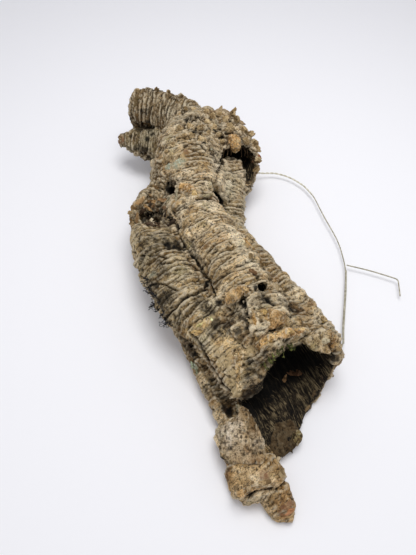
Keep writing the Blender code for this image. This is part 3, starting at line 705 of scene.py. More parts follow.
def dip(points, normals, edges, rounds):
    """How far each point lies below the skin round it, in metres. More rounds look at a broader skin."""
    return ((averaged(points, edges, rounds) - points) * normals).sum(axis=1)


def finished(obj, material, replaced=None):
    """Gives a piece its material and body, hides the CAD node that it replaces, and presses flat what reaches
    under the floor.
    """
    obj.data.materials.clear()
    obj.data.materials.append(material)
    places = read_vertices(obj.data)
    if places[:, 2].min() < 0:
        places[:, 2] = np.where(places[:, 2] < 0, FLOOR_PRESS * places[:, 2], places[:, 2])
        write_vertices(obj.data, places)
    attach(obj, "root")
    if replaced:
        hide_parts(replaced)


def new_material(name):
    """A material with an empty tree: the material, its tree, and the piece's own coordinates."""
    material = bpy.data.materials.new(name)
    material.use_nodes = True
    tree = material.node_tree
    tree.nodes.clear()
    return material, tree, add_node(tree, "ShaderNodeTexCoord").outputs["Object"]


def set_surface(tree, colour, height, strength, distance, values):
    """Ends a material's tree: its colour, the relief finer than the mesh, and the shader's own values."""
    bump = add_node(tree, "ShaderNodeBump", {"Height": height, "Strength": strength, "Distance": distance})
    surface = add_node(tree, "ShaderNodeBsdfPrincipled", {"Base Color": colour, "Normal": bump, **values})
    add_node(tree, "ShaderNodeOutputMaterial", {"Surface": surface})


def cork_bark_material():
    """Weathered cork-oak bark: dry, matt and grey-brown, ringed across the limb, tan where it has broken."""
    material, tree, place = new_material("weathered cork bark")
    weight = {}
    for name in ("torn", "pale", "rust", "mint", "fleck_and_crack_shade", "inside", "shade_patches", "hollow", "lip", "rise", "dark"):
        weight[name] = add_node(tree, "ShaderNodeAttribute", attribute_name=name).outputs["Fac"]
    colour = add_node(tree, "ShaderNodeAttribute", attribute_name="tone").outputs["Color"]
    grain = add_node(tree, "ShaderNodeAttribute", attribute_name="grain").outputs["Vector"]

    # Along the limb and round it: ring streaks 2 by 6 mm, rows of pores 0.8 mm wide, and ribs for the hollows
    space = {"place": place}
    for name, scale in (
            ("ring", (520.0, 150.0, 150.0)), ("pore", (420.0, 260.0, 260.0)), ("rib", (70.0, 760.0, 760.0))):
        space[name] = add_node(tree, "ShaderNodeVectorMath", {0: grain, 1: scale}, operation="MULTIPLY")
    # Weathering 50 mm wide, patches 20 mm wide, blotches 5 mm wide and grit 1.3 mm wide
    pattern = {}
    for name, where, scale, detail, roughness in (
            ("patches", "place", 50.0, 3.0, 0.5), ("weather", "place", 21.0, 4.0, 0.65),
            ("blotches", "place", 210.0, 5.0, 0.65), ("grit", "place", 800.0, 3.0, 0.7),
            ("streaks", "ring", 1.0, 4.0, 0.6), ("ribs", "rib", 1.0, 4.0, 0.5)):
        pattern[name] = add_node(tree, "ShaderNodeTexNoise", {
            "Vector": space[where], "Scale": scale, "Detail": detail, "Roughness": roughness})
    for name, share, stops in (
            ("patches", 1.0, ((0.3, "#b9a184"), (0.45, "#ece2cf"), (0.6, "#ffffff"), (0.74, "#dde0cf"))),
            ("weather", 1.0, ((0.36, "#9d8e76"), (0.46, "#ddd3c0"), (0.54, "#ffffff"))),
            ("blotches", 0.8, ((0.34, "#6f675c"), (0.45, "#ece7de"), (0.56, "#ffffff"))),
            ("grit", 0.75, ((0.38, "#575047"), (0.46, "#efeae2"), (0.57, "#ffffff"))),
            ("streaks", 0.7, ((0.38, "#3a3229"), (0.46, "#ebe4d8"), (0.57, "#ffffff")))):
        ramp = set_ramp(add_node(tree, "ShaderNodeValToRGB", {"Fac": pattern[name]}), *stops)
        # A mix of colours takes its share at 0 and the two colours at 6 and 7
        colour = add_node(tree, "ShaderNodeMix", {0: share, 6: colour, 7: ramp},
                          data_type="RGBA", blend_type="MULTIPLY")
    pores = add_node(tree, "ShaderNodeTexVoronoi", {"Vector": space["pore"], "Scale": 1.0})
    pore_mask = add_node(tree, "ShaderNodeMapRange", {"Value": pores, 1: 0.14, 2: 0.32, 3: 0.85, 4: 0.0})
    colour = add_node(tree, "ShaderNodeMix", {0: pore_mask, 6: colour, 7: to_linear("#241c14")},
                      data_type="RGBA")

    # Painted light and shade: each scale of bark is lighter the higher it stands
    shade = add_node(tree, "ShaderNodeMapRange", {"Value": weight["rise"], 1: -0.8, 2: 0.8, 3: 0.74, 4: 2.75})
    colour = add_node(tree, "ShaderNodeVectorMath", {0: colour, "Scale": shade}, operation="SCALE")

    # Broken cork: tan crumbs with dark pits
    crumbs = add_node(tree, "ShaderNodeTexVoronoi", {"Vector": place, "Scale": 420.0})
    pits = add_node(tree, "ShaderNodeMapRange", {"Value": crumbs, 1: 0.25, 2: 0.75, 3: 0.0, 4: 0.55})
    broken = set_ramp(add_node(tree, "ShaderNodeValToRGB", {"Fac": pattern["blotches"]}),
                      (0.30, "#3d2c1c"), (0.39, "#a3855c"), (0.5, "#cdae80"), (0.63, "#ecd3a8"))
    broken = add_node(tree, "ShaderNodeMix", {0: pits, 6: broken, 7: to_linear("#3a2817")}, data_type="RGBA")
    # Painted light and shade on the broken cork too: the higher crumbs lighter, the lower darker
    shade = add_node(tree, "ShaderNodeMapRange", {"Value": weight["rise"], 1: -0.9, 2: 0.9, 3: 0.3, 4: 1.45})
    broken = add_node(tree, "ShaderNodeVectorMath", {0: broken, "Scale": shade}, operation="SCALE")
    # The walls of the hollows: dark bark with brown ribs along the tube, painted almost black as shade
    walls = set_ramp(add_node(tree, "ShaderNodeValToRGB", {"Fac": pattern["ribs"]}),
                     (0.4, "#0c0a07"), (0.52, "#352c20"), (0.64, "#857659"))

    # What lies over the bark, from the bottom up: torn cork, a painted highlight on the lips, painted shade
    # in the hollows, the hollows' walls, near-black flecks with painted shade along the cracks, stains,
    # lichen, patches of painted shade, and near-black painted shade in the darkest places
    flecks = add_node(tree, "ShaderNodeMapRange", {
        "Value": pattern["blotches"], 1: 0.4, 2: 0.54, 3: 0.1, 4: 0.85})
    shade_patchiness = add_node(tree, "ShaderNodeMapRange", {
        "Value": pattern["blotches"], 1: 0.4, 2: 0.56, 3: 1.0, 4: 0.35})
    for name, share, over in (
            ("torn", 1.0, broken), ("lip", 0.72, "#f6e6c6"), ("hollow", 1.0, "#17110b"),
            ("inside", 1.0, walls), ("fleck_and_crack_shade", flecks, "#15110c"), ("rust", flecks, "#94694a"),
            ("pale", flecks, "#d8bf90"), ("mint", flecks, "#b9bda2"), ("shade_patches", shade_patchiness, "#2b241a"),
            ("dark", 1.0, "#080705")):
        over = to_linear(over) if isinstance(over, str) else over
        mask = add_node(tree, "ShaderNodeMath", {0: weight[name], 1: share}, operation="MULTIPLY")
        colour = add_node(tree, "ShaderNodeMix", {0: mask, 6: colour, 7: over}, data_type="RGBA")

    coarse = add_node(tree, "ShaderNodeMath", {0: pattern["streaks"], 1: pattern["blotches"]})
    relief = add_node(tree, "ShaderNodeMath", {0: pattern["grit"], 1: 0.8, 2: coarse},
                      operation="MULTIPLY_ADD")
    set_surface(tree, colour, relief, 1.0, 0.003, {
        "Roughness": 0.92, "IOR": 1.45, "Specular IOR Level": 0.25})
    return material


def tie_wire_material():
    """Galvanised steel tie wire: a dull grey-green zinc skin, slightly uneven, with a soft sheen."""
    material, tree, place = new_material("galvanised tie wire")
    # Zinc blooms about 3 mm long
    bloom = add_node(tree, "ShaderNodeTexNoise", {"Vector": place, "Scale": 340.0, "Detail": 3.0})
    ramp = set_ramp(add_node(tree, "ShaderNodeValToRGB", {"Fac": bloom}),
                    (0.3, "#bdb8a2"), (0.5, "#d8d3bf"), (0.7, "#ece8d8"))
    set_surface(tree, ramp, bloom, 0.3, 0.0002, {"Metallic": 0.15, "Roughness": 0.5})
    return material


def with_tree(obj, tree, values):
    """Runs a node tree on an object with these named inputs, and leaves a plain mesh."""
    modifier = obj.modifiers.new(tree.name, "NODES")
    modifier.node_group = tree
    for item in tree.interface.items_tree:
        if item.item_type == "SOCKET" and item.in_out == "INPUT" and item.name in values:
            modifier[item.identifier] = values[item.name]
    obj.update_tag()
    return applied(obj)


def broken_cork_material():
    """Freshly broken cork: soft, crumbly and matt, tan to cream with dark brown pits between the grains."""
    material, tree, place = new_material("broken cork")
    colour = add_node(tree, "ShaderNodeAttribute", attribute_name="tone").outputs["Color"]
    # Lumps 4 mm wide of different browns, with 1 mm grains
    lumps = add_node(tree, "ShaderNodeTexVoronoi", {"Vector": place, "Scale": 230.0})
    shade = add_node(tree, "ShaderNodeSeparateColor", {"Color": lumps.outputs["Color"]})
    grains = add_node(tree, "ShaderNodeTexNoise", {
        "Vector": place, "Scale": 760.0, "Detail": 4.0, "Roughness": 0.7})
    for pattern, share, stops in (
            (shade, 1.0, ((0.1, "#a89e90"), (0.5, "#ece5da"), (0.9, "#ffffff"))),
            (grains, 0.85, ((0.34, "#4a4038"), (0.43, "#dad2c6"), (0.5, "#ffffff")))):
        ramp = set_ramp(add_node(tree, "ShaderNodeValToRGB", {"Fac": pattern}), *stops)
        colour = add_node(tree, "ShaderNodeMix", {0: share, 6: colour, 7: ramp},
                          data_type="RGBA", blend_type="MULTIPLY")
    set_surface(tree, colour, grains, 1.0, 0.0018, {"Roughness": 0.94, "Specular IOR Level": 0.2})
    return material


def growth_material(name, colours, scale, roughness):
    """A dry plant skin of three colours, in patches of 1 / scale metres: lichen, moss or fibre."""
    material, tree, place = new_material(name)
    patches = add_node(tree, "ShaderNodeTexNoise", {"Vector": place, "Scale": scale, "Detail": 3.0})
    ramp = set_ramp(add_node(tree, "ShaderNodeValToRGB", {"Fac": patches}), *zip((0.32, 0.5, 0.68), colours))
    set_surface(tree, ramp, patches, 0.6, 0.0005, {"Roughness": roughness, "Specular IOR Level": 0.25})
    return material


def bark_lookup(context):
    """The finished bark, for rays and nearest points."""
    return BVHTree.FromObject(bpy.data.objects["bark"], context.evaluated_depsgraph_get())


def face_bed(name, weight):
    """The bark's faces where a weight is above a half and the floor isn't near, with the bark's tone."""
    mesh = bpy.data.objects["bark"].data
    values = np.empty(len(mesh.vertices))
    mesh.attributes[weight].data.foreach_get("value", values)
    keep = (values > 0.5) & (read_vertices(mesh)[:, 2] > FLOOR_GAP)
    faces = [p.vertices[:] for p in mesh.polygons if all(keep[v] for v in p.vertices)]
    used = sorted({v for face in faces for v in face})
    number = {v: i for i, v in enumerate(used)}
    bed = bpy.data.meshes.new(name)
    bed.from_pydata([mesh.vertices[v].co for v in used], [], [[number[v] for v in face] for face in faces])
    tones = np.empty(len(mesh.vertices) * 4)
    mesh.attributes["tone"].data.foreach_get("color", tones)
    set_attribute(bed, "tone", tones.reshape(-1, 4)[used, :3], "FLOAT_COLOR")
    return new_object(name, bed)


def new_tree(name, inputs):
    """A geometry node tree with these inputs, each a name and a kind of socket: the tree and its inputs."""
    tree = bpy.data.node_groups.new(name, "GeometryNodeTree")
    for label, kind in (("Geometry", "Geometry"), *inputs, ("Material", "Material")):
        tree.interface.new_socket(label, in_out="INPUT", socket_type="NodeSocket" + kind)
    tree.interface.new_socket("Geometry", in_out="OUTPUT", socket_type="NodeSocketGeometry")
    return tree, add_node(tree, "NodeGroupInput").outputs


def end_tree(tree, geometry, material):
    """Makes a tree's geometry real, gives it a material and hands it out."""
    whole = add_node(tree, "GeometryNodeRealizeInstances", {0: geometry})
    dressed = add_node(tree, "GeometryNodeSetMaterial", {"Geometry": whole, "Material": material})
    add_node(tree, "NodeGroupOutput", {0: dressed})
    return tree


def strewn_tree(name):
    """Geometry nodes that strew small ragged pieces over a sheet of faces."""
    tree, ins = new_tree(name, (
        ("Spacing", "Float"), ("Density", "Float"), ("Smallest", "Float"), ("Largest", "Float"),
        ("Shape", "Vector"), ("Tilt", "Float"), ("Raggedness", "Float"), ("Seed", "Int")))
    points = add_node(tree, "GeometryNodeDistributePointsOnFaces", {
        "Mesh": ins["Geometry"], "Distance Min": ins["Spacing"], "Density Max": ins["Density"],
        "Seed": ins["Seed"]}, distribute_method="POISSON")
    upright = add_node(tree, "FunctionNodeAlignRotationToVector", {"Vector": points.outputs["Normal"]},
                       axis="Z")
    tilt_down = add_node(tree, "ShaderNodeMath", {0: ins["Tilt"], 1: -1.0}, operation="MULTIPLY")
    low = add_node(tree, "ShaderNodeCombineXYZ", {0: tilt_down, 1: tilt_down, 2: -math.pi})
    high = add_node(tree, "ShaderNodeCombineXYZ", {0: ins["Tilt"], 1: ins["Tilt"], 2: math.pi})
    spin = add_node(tree, "FunctionNodeRandomValue", {0: low, 1: high, "Seed": 3}, data_type="FLOAT_VECTOR")
    spin = add_node(tree, "FunctionNodeEulerToRotation", {0: spin})
    turned = add_node(tree, "FunctionNodeRotateRotation", {0: upright, 1: spin}, rotation_space="LOCAL")
    size = add_node(tree, "FunctionNodeRandomValue", {2: ins["Smallest"], 3: ins["Largest"], "Seed": 5},
                    data_type="FLOAT")
    scale = add_node(tree, "ShaderNodeVectorMath", {0: ins["Shape"], "Scale": size}, operation="SCALE")
    pebble = add_node(tree, "GeometryNodeMeshIcoSphere", {"Radius": 1.0, "Subdivisions": 1})
    pieces = add_node(tree, "GeometryNodeInstanceOnPoints", {
        "Points": points, "Instance": pebble, "Rotation": turned, "Scale": scale})
    whole = add_node(tree, "GeometryNodeRealizeInstances", {0: pieces})
    position = add_node(tree, "GeometryNodeInputPosition")
    wobble = add_node(tree, "ShaderNodeTexNoise", {"Vector": position, "Scale": 420.0, "Detail": 1.0})
    push = add_node(tree, "ShaderNodeVectorMath", {0: wobble.outputs["Color"], 1: (0.5, 0.5, 0.5)},
                    operation="SUBTRACT")
    push = add_node(tree, "ShaderNodeVectorMath", {0: push, "Scale": ins["Raggedness"]}, operation="SCALE")
    ragged = add_node(tree, "GeometryNodeSetPosition", {"Geometry": whole, "Offset": push})
    return end_tree(tree, ragged, ins["Material"])


def fibre_tree(name):
    """Geometry nodes that turn lines into tapering fibres."""
    tree, ins = new_tree(name, (("Thickness", "Float"), ("Tip", "Float")))
    curve = add_node(tree, "GeometryNodeMeshToCurve", {"Mesh": ins["Geometry"]})
    run = add_node(tree, "GeometryNodeSplineParameter").outputs["Factor"]
    taper = add_node(tree, "ShaderNodeMapRange", {"Value": run, 3: 1.0, 4: ins["Tip"]})
    radius = add_node(tree, "ShaderNodeMath", {0: ins["Thickness"], 1: 0.5}, operation="MULTIPLY")
    profile = add_node(tree, "GeometryNodeCurvePrimitiveCircle", {"Resolution": 5, "Radius": radius},
                       mode="RADIUS")
    solid = add_node(tree, "GeometryNodeCurveToMesh", {
        "Curve": curve, "Profile Curve": profile, "Scale": taper, "Fill Caps": True})
    return end_tree(tree, solid, ins["Material"])


def fibres(name, lines, thickness, tip, material):
    """Fibres along these lines, each a list of points, as one piece."""
    vertices, edges = [], []
    for line in lines:
        edges += [(len(vertices) + i, len(vertices) + i + 1) for i in range(len(line) - 1)]
        vertices += [tuple(p) for p in line]
    mesh = bpy.data.meshes.new(name)
    mesh.from_pydata(vertices, edges, [])
    obj = with_tree(new_object(name, mesh), fibre_tree(name), {
        "Thickness": thickness, "Tip": tip, "Material": material})
    shade_smooth(obj.data)
    finished(obj, material)


def picture_axes(normal):
    """Two directions along the bark: one to the right in the picture, and one up in it."""
    right = Vector((1.0, 0.0, 0.0))
    right.rotate(CAMERA_TURN)
    right = (right - normal * right.dot(normal)).normalized()
    return right, normal.cross(right)


def flake_shape(centre, normal, length, width, turn, lift, curl, seed):
    """A flake's vertices and faces: a thin ragged plate, one end in the bark and the other curled up."""
    right, up = picture_axes(normal)
    along = right * math.cos(math.radians(turn)) + up * math.sin(math.radians(turn))
    across = normal.cross(along)
    columns, rows = 6, 4
    ragged = np.random.default_rng(seed).uniform(-0.12, 0.12, (columns + 1, rows + 1))
    vertices = []
    for side in (1, -1):
        for i in range(columns + 1):
            for j in range(rows + 1):
                u, v = i / columns, j / rows - 0.5
                end = 1 - 0.55 * abs(2 * u - 1) ** 3
                edge = 1 if 0 < i < columns and 0 < j < rows else 0.35
                x = ((u - 0.35) + ragged[i, j] * (0.6 if i in (0, columns) else 0.15)) * length * MM
                y = (v * end + ragged[i, j] * 0.8) * width * MM
                rise = math.sin(math.radians(lift)) * x
                rise += (curl * u * u * length * 0.22 - v * v * width * 0.35) * MM
                rise += (ragged[i, j] * 2.2 + side * 0.7 * edge) * MM
                vertices.append(centre + along * x + across * y + normal * (rise + 0.2 * MM))
    cell = np.arange((columns + 1) * (rows + 1)).reshape(columns + 1, rows + 1)
    faces = []
    for i in range(columns):
        for j in range(rows):
            top = [int(v) for v in (cell[i, j], cell[i + 1, j], cell[i + 1, j + 1], cell[i, j + 1])]
            faces += [top, [cell.size + v for v in reversed(top)]]
    ring = [int(v) for v in (*cell[:-1, 0], *cell[-1, :-1], *cell[:0:-1, -1], *cell[0, :0:-1])]
    for a, b in zip(ring, ring[1:] + ring[:1]):
        faces.append([b, a, cell.size + a, cell.size + b])
    return vertices, faces


class CorkBarkSettings(bpy.types.PropertyGroup):
    """Sizes of the bark's relief."""
    grid: bpy.props.FloatProperty(name="Mesh size", description="Width of the finest faces of the bark",
                                  default=1.3 * MM, min=1 * MM, subtype="DISTANCE", unit="LENGTH")
    triangles: bpy.props.IntProperty(name="Triangles", description="How many triangles the bark keeps",
                                     default=196000, max=199000)
    ring_pitch: bpy.props.FloatProperty(name="Collar spacing", description="Distance between growth collars",
                                        default=11 * MM, subtype="DISTANCE", unit="LENGTH")
    ring_depth: bpy.props.FloatProperty(name="Collar depth", description="How far a collar's lip stands out",
                                        default=3.4 * MM, subtype="DISTANCE", unit="LENGTH")
    torn_depth: bpy.props.FloatProperty(name="Torn depth", description="How deep the pits of broken cork go",
                                        default=2.9 * MM, subtype="DISTANCE", unit="LENGTH")


class CorkCrumbSettings(bpy.types.PropertyGroup):
    """Sizes of the crumbs on the torn places."""
    spacing: bpy.props.FloatProperty(name="Crumb spacing", description="Least distance between two crumbs",
                                     default=2.6 * MM, subtype="DISTANCE", unit="LENGTH")
    smallest: bpy.props.FloatProperty(name="Smallest crumb", description="Half width of the smallest crumb",
                                      default=0.7 * MM, subtype="DISTANCE", unit="LENGTH")
    largest: bpy.props.FloatProperty(name="Largest crumb", description="Half width of the largest crumb",
                                     default=2.3 * MM, subtype="DISTANCE", unit="LENGTH")


class CorkWireSettings(bpy.types.PropertyGroup):
    """Sizes of the tie wire."""
    diameter: bpy.props.FloatProperty(name="Wire diameter", description="Thickness of the plain wire",
                                      default=1.3 * MM, subtype="DISTANCE", unit="LENGTH")
    pitch: bpy.props.FloatProperty(name="Twist pitch", description="Length of one turn of the twisted pair",
                                   default=11 * MM, subtype="DISTANCE", unit="LENGTH")


class CorkStageSettings(bpy.types.PropertyGroup):
    """Light of the studio."""
    key_power: bpy.props.FloatProperty(name="Key light", description="Power of the large soft light overhead",
                                       default=4.7, unit="POWER")
    fill: bpy.props.FloatProperty(name="Fill", description="Brightness of the pale room round the object",
                                  default=0.55)


class CORKTUBE_OT_stage(bpy.types.Operator):
    """Makes the pale floor, the soft light and the camera"""
    bl_idname = "corktube.stage"
    bl_label = "Studio and camera"

    def execute(self, context):
        scene = context.scene
        settings = scene.corktube_stage
        camera = bpy.data.objects.new("camera", bpy.data.cameras.new("camera"))
        scene.collection.objects.link(camera)
        camera.data.sensor_fit = "VERTICAL"
        camera.data.sensor_height = SENSOR_HEIGHT
        camera.data.lens = PHOTO_FOCUS / PHOTO_HEIGHT * SENSOR_HEIGHT
        camera.data.clip_start = 0.01
        camera.location = CAMERA_PLACE
        camera.rotation_euler = CAMERA_TURN
        scene.camera = camera

        # A paper sweep: flat under the tube and curved up far behind it
        rows = [(SWEEP_FRONT, 0.0), (SWEEP_BACK, 0.0)]
        for angle in np.linspace(0, math.pi / 2, 13)[1:]:
            rows.append((SWEEP_BACK + SWEEP_CURVE * math.sin(angle), SWEEP_CURVE * (1 - math.cos(angle))))
        rows.append((SWEEP_BACK + SWEEP_CURVE, SWEEP_TOP))
        vertices = [(x, y, z) for y, z in rows for x in (-SWEEP_HALF_WIDTH, SWEEP_HALF_WIDTH)]
        faces = [(2 * i, 2 * i + 1, 2 * i + 3, 2 * i + 2) for i in range(len(rows) - 1)]
        mesh = bpy.data.meshes.new("paper sweep")
        mesh.from_pydata(vertices, [], faces)
        floor = new_object("paper_sweep", mesh)
        shade_smooth(mesh)
        # Matt paper, bright and faintly cool, with a fine tooth of about 1 mm
        paper, tree, place = new_material("matt white paper")
        tooth = add_node(tree, "ShaderNodeTexNoise", {"Vector": place, "Scale": 900.0})
        set_surface(tree, to_linear("#f4f4f7"), tooth, 0.05, 0.0002, {
            "Roughness": 0.95, "Specular IOR Level": 0.1})
        mesh.materials.append(paper)

        light = bpy.data.objects.new("softbox", bpy.data.lights.new("softbox", "AREA"))
        light.data.shape = "RECTANGLE"
        light.data.size = LIGHT_LENGTH
        light.data.size_y = LIGHT_WIDTH
        light.data.energy = settings.key_power
        light.location = LIGHT_PLACE
        aim = Vector(light.location) - Vector(LIGHT_AIM)
        light.rotation_euler = aim.to_track_quat("Z", "Y").to_euler()
        scene.collection.objects.link(light)
        world = bpy.data.worlds.new("pale room")
        world.use_nodes = True
        world.node_tree.nodes["Background"].inputs["Color"].default_value = to_linear("#fbfbff")
        world.node_tree.nodes["Background"].inputs["Strength"].default_value = settings.fill
        scene.world = world
        scene.view_settings.view_transform = "Standard"
        return {"FINISHED"}


def collars(settings, points, grain, limb):
    """Growth collars: how far the grain wanders, the relief, and the lines of painted shade behind the lips.
    """
    warp = 0.0048 * noise(points, 0.03, 1) + 0.0015 * noise(points, 0.010, 2)
    warp += 0.0006 * noise(points, 0.0045, 9)
    warp += 0.006 * noise(np.column_stack((grain[:, 0], limb * 5, limb)), 0.045, 3)
    relief = np.zeros(len(points))
    lines = np.zeros(len(points))
    # Three sizes of collar: a sharp lip on the side of the far end, then a slow fall towards the mouth
    for share, seed in ((1.0, 4), (0.44, 5), (0.27, 3)):
        pitch, depth = settings.ring_pitch * share, settings.ring_depth * share * 1.05
        turn = (grain[:, 0] + warp) / pitch
        ring = np.floor(turn)
        u = turn - ring
        lip = np.where(u < 0.1, u / 0.1, 1 - np.clip((u - 0.1) / 0.9, 0, 1) ** 1.25)
        bold = 0.62 + 0.38 * hashed(np.column_stack((ring, limb, limb * 0)), seed)
        patchy = step_up(noise(points, 0.008 + 0.016 * share, seed + 90), -0.45 - 0.4 * (share == 1), 0.45)
        relief += depth * (0.75 + 0.3 * share) * (lip - 0.5) * bold * (0.3 + 0.7 * patchy)
        behind = (1 - step_up(np.minimum(u, 1 - u) * pitch, 0.0002, 0.0012)) * patchy
        relief -= 0.0015 * (0.12 + 0.88 * share) * behind
        lines = np.maximum(lines, behind * bold * (0.05 + 0.95 * share))
    return warp, relief, lines


class CORKTUBE_OT_bark(bpy.types.Operator):
    """Makes the ringed, cracked and torn bark over the plain model"""
    bl_idname = "corktube.bark"
    bl_label = "Cork bark"

    def execute(self, context):
        settings = context.scene.corktube_bark
        base = merged_copy(BARK_NODE, "bark")
        obj = new_object("bark", base)
        plain = BVHTree.FromPolygons([v.co for v in base.vertices], [p.vertices[:] for p in base.polygons])
        mesh, edges = remeshed(obj, settings.grid)
        rough = read_vertices(mesh)
        points = averaged(rough, edges, 2)
        points += 0.6 * (rough - averaged(points, edges, 1))
        write_vertices(mesh, points)
        normals = averaged(read_vertices(mesh, "normal"), edges, 2)
        normals /= np.linalg.norm(normals, axis=1)[:, None]

        grain, tone, limb, inside = bark_grain(points, normals, edges)
        outside = 1 - inside
        weights = {"inside": inside}
        for name, marks, seed in (
                ("torn", TORN_SPOTS, 11), ("pale", PALE_SPOTS, 21), ("rust", RUST_SPOTS, 31),
                ("mint", MINT_SPOTS, 41), ("fleck_and_crack_shade", FLECK_AND_SHADE_SPOTS, 51), ("shade_patches", SHADE_PATCH_SPOTS, 56),
                ("dark", NEAR_BLACK_SHADE_SPOTS, 66)):
            weights[name] = spots(points, plain, marks, seed)
        crack = crack_depth(points, plain)
        # Near-black painted shade along the cracks
        weights["fleck_and_crack_shade"] = np.maximum(weights["fleck_and_crack_shade"], step_up(crack, 0.0006, 0.002))
        # The patches of painted shade and the near-black painted shade, a little weakened
        weights["shade_patches"] *= 0.85
        weights["dark"] *= 0.93
        sight = in_sight(points, normals, plain, edges)
        ragged = 1.1 * np.column_stack((noise(points, 0.005, 81), noise(points, 0.005, 82)))
        pixels = in_photograph(points) + ragged
        plates = np.zeros(len(points))
        for outline, height, soft in PLATES:
            plates += height * MM * within(pixels, outline, soft) * sight * outside

        # The sides that the photograph doesn't show are torn and scarred here and there
        unseen = step_up(0.55 - normals[:, 2], 0.2, 0.6) * outside
        scars = step_up(noise(points, 0.034, 61) + 0.4 * noise(points, 0.011, 62), 0.42, 0.6) * unseen
        torn = np.maximum(weights["torn"], 0.9 * scars)
        weights["torn"] = torn

        # The strip on the left has only faint collars
        warp, relief, lines = collars(settings, points, grain, limb)
        collared = 1 - 0.7 * averaged((limb == TONGUE).astype(float), edges, 6)
        relief *= outside * (1 - 0.7 * torn) * collared
        # Scales longer round the limb than along it, each at its own height, with splits between some
        rise = np.zeros(len(points))
        for size, height, split, seed in ((0.012, 0.0007, 0.0011, 18), (0.0055, 0.0004, 0.0008, 28)):
            step, gap = chunks(np.column_stack((grain[:, 0] + warp, grain[:, 1:] * 0.35)), size, seed)
            cleft = (1 - step_up(gap, 0.0, 0.1)) * step_up(noise(points, 0.02, seed + 1), -0.3, 0.3)
            relief += outside * (height * step - split * cleft)
            rise += 0.3 * step
        relief += outside * (0.0004 * noise(points, 0.0085, 6) + 0.0004 * noise(points, 0.003, 7))

        # Broken cork: crumbs at different heights, with pits between them
        crumb, edge = chunks(points, 0.0068, 12)
        small, _ = chunks(points, 0.0034, 14)
        pits = settings.torn_depth * (0.65 * crumb - 0.8 * (1 - step_up(edge, 0.03, 0.28)) + 0.3 * small)
        relief += torn * (pits + 0.0006)
        # How high each scale and crumb stands, which the material paints as light and shade
        weights["rise"] = rise * (1 - torn) + torn * (0.8 * crumb + 0.4 * small)

        # Ribs along the walls of the hollows
        ribs = noise(grain, (0.035, 0.0042, 0.0042), 15) + 0.6 * noise(grain, (0.018, 0.0021, 0.0021), 16)
        relief += inside * (0.0008 * ribs + 0.0006 * noise(points, 0.006, 17))
        relief += plates - crack

        # Crumbled edges where the walls are broken off, and a flat foot where the bark rests
        rim = step_up(-dip(points, normals, edges, 14), 0.0011, 0.0026)
        relief += rim * (0.0011 * crumb + 0.0008 * small)
        relief *= step_up(points[:, 2], -0.0002, 0.004)
        shaped = points + normals * relief[:, None]
        shaped[:, 2] = np.maximum(shaped[:, 2], np.minimum(points[:, 2], 0.0002))
        write_vertices(mesh, shaped)

        # Painted shade in the hollows and in the lines behind the collars' lips, and a painted highlight on
        # the lips
        facing = read_vertices(mesh, "normal")
        fine = dip(shaped, facing, edges, 3)
        wide = dip(shaped, facing, edges, 16)
        hollow = np.clip(step_up(fine, 0.00012, 0.0007) * 0.75 + step_up(wide, 0.0009, 0.0038) * 0.6, 0, 1)
        weights["hollow"] = np.maximum(hollow, 0.95 * lines * collared * outside * (1 - torn))
        weights["lip"] = step_up(-fine, 0.0001, 0.0006) * outside
        for name, values in weights.items():
            set_attribute(mesh, name, values)
        set_attribute(mesh, "tone", tone, "FLOAT_COLOR")
        set_attribute(mesh, "grain", grain, "FLOAT_VECTOR")
        shade_smooth(mesh)
        thinner = obj.modifiers.new("fewer faces", "DECIMATE")
        thinner.ratio = min(1.0, settings.triangles / sum(len(face.vertices) - 2 for face in mesh.polygons))
        applied(obj)
        finished(obj, cork_bark_material(), BARK_NODE)
        return {"FINISHED"}


def wire_tree():
    """Geometry nodes that turn a path into a wire, or into two strands wound round each other."""
    tree, ins = new_tree("Tie wire", (("Diameter", "Float"), ("Pitch", "Float"), ("Spread", "Float")))
    curve = add_node(tree, "GeometryNodeMeshToCurve", {"Mesh": ins["Geometry"]})
    curve = add_node(tree, "GeometryNodeResampleCurve", {"Curve": curve, "Length": 0.0011}, mode="LENGTH")
    curve = add_node(tree, "GeometryNodeSetCurveNormal", {"Curve": curve}, mode="MINIMUM_TWIST")
    run = add_node(tree, "GeometryNodeSplineParameter").outputs["Length"]
    turns = add_node(tree, "ShaderNodeMath", {0: run, 1: ins["Pitch"]}, operation="DIVIDE")
    radius = add_node(tree, "ShaderNodeMath", {0: ins["Diameter"], 1: 0.5}, operation="MULTIPLY")
    profile = add_node(tree, "GeometryNodeCurvePrimitiveCircle", {"Resolution": 8, "Radius": radius},
                       mode="RADIUS")
    normal = add_node(tree, "GeometryNodeInputNormal")
    tangent = add_node(tree, "GeometryNodeInputTangent")
    join = add_node(tree, "GeometryNodeJoinGeometry")
    for start in (0.0, math.pi):
        angle = add_node(tree, "ShaderNodeMath", {0: turns, 1: math.tau, 2: start}, operation="MULTIPLY_ADD")
        turned = add_node(tree, "ShaderNodeVectorRotate", {"Vector": normal, "Axis": tangent, "Angle": angle})
        offset = add_node(tree, "ShaderNodeVectorMath", {0: turned, "Scale": ins["Spread"]},
                          operation="SCALE")
        strand = add_node(tree, "GeometryNodeSetPosition", {"Geometry": curve, "Offset": offset})
        solid = add_node(tree, "GeometryNodeCurveToMesh", {
            "Curve": strand, "Profile Curve": profile, "Fill Caps": True})
        tree.links.new(solid.outputs[0], join.inputs[0])
    return end_tree(tree, join, ins["Material"])


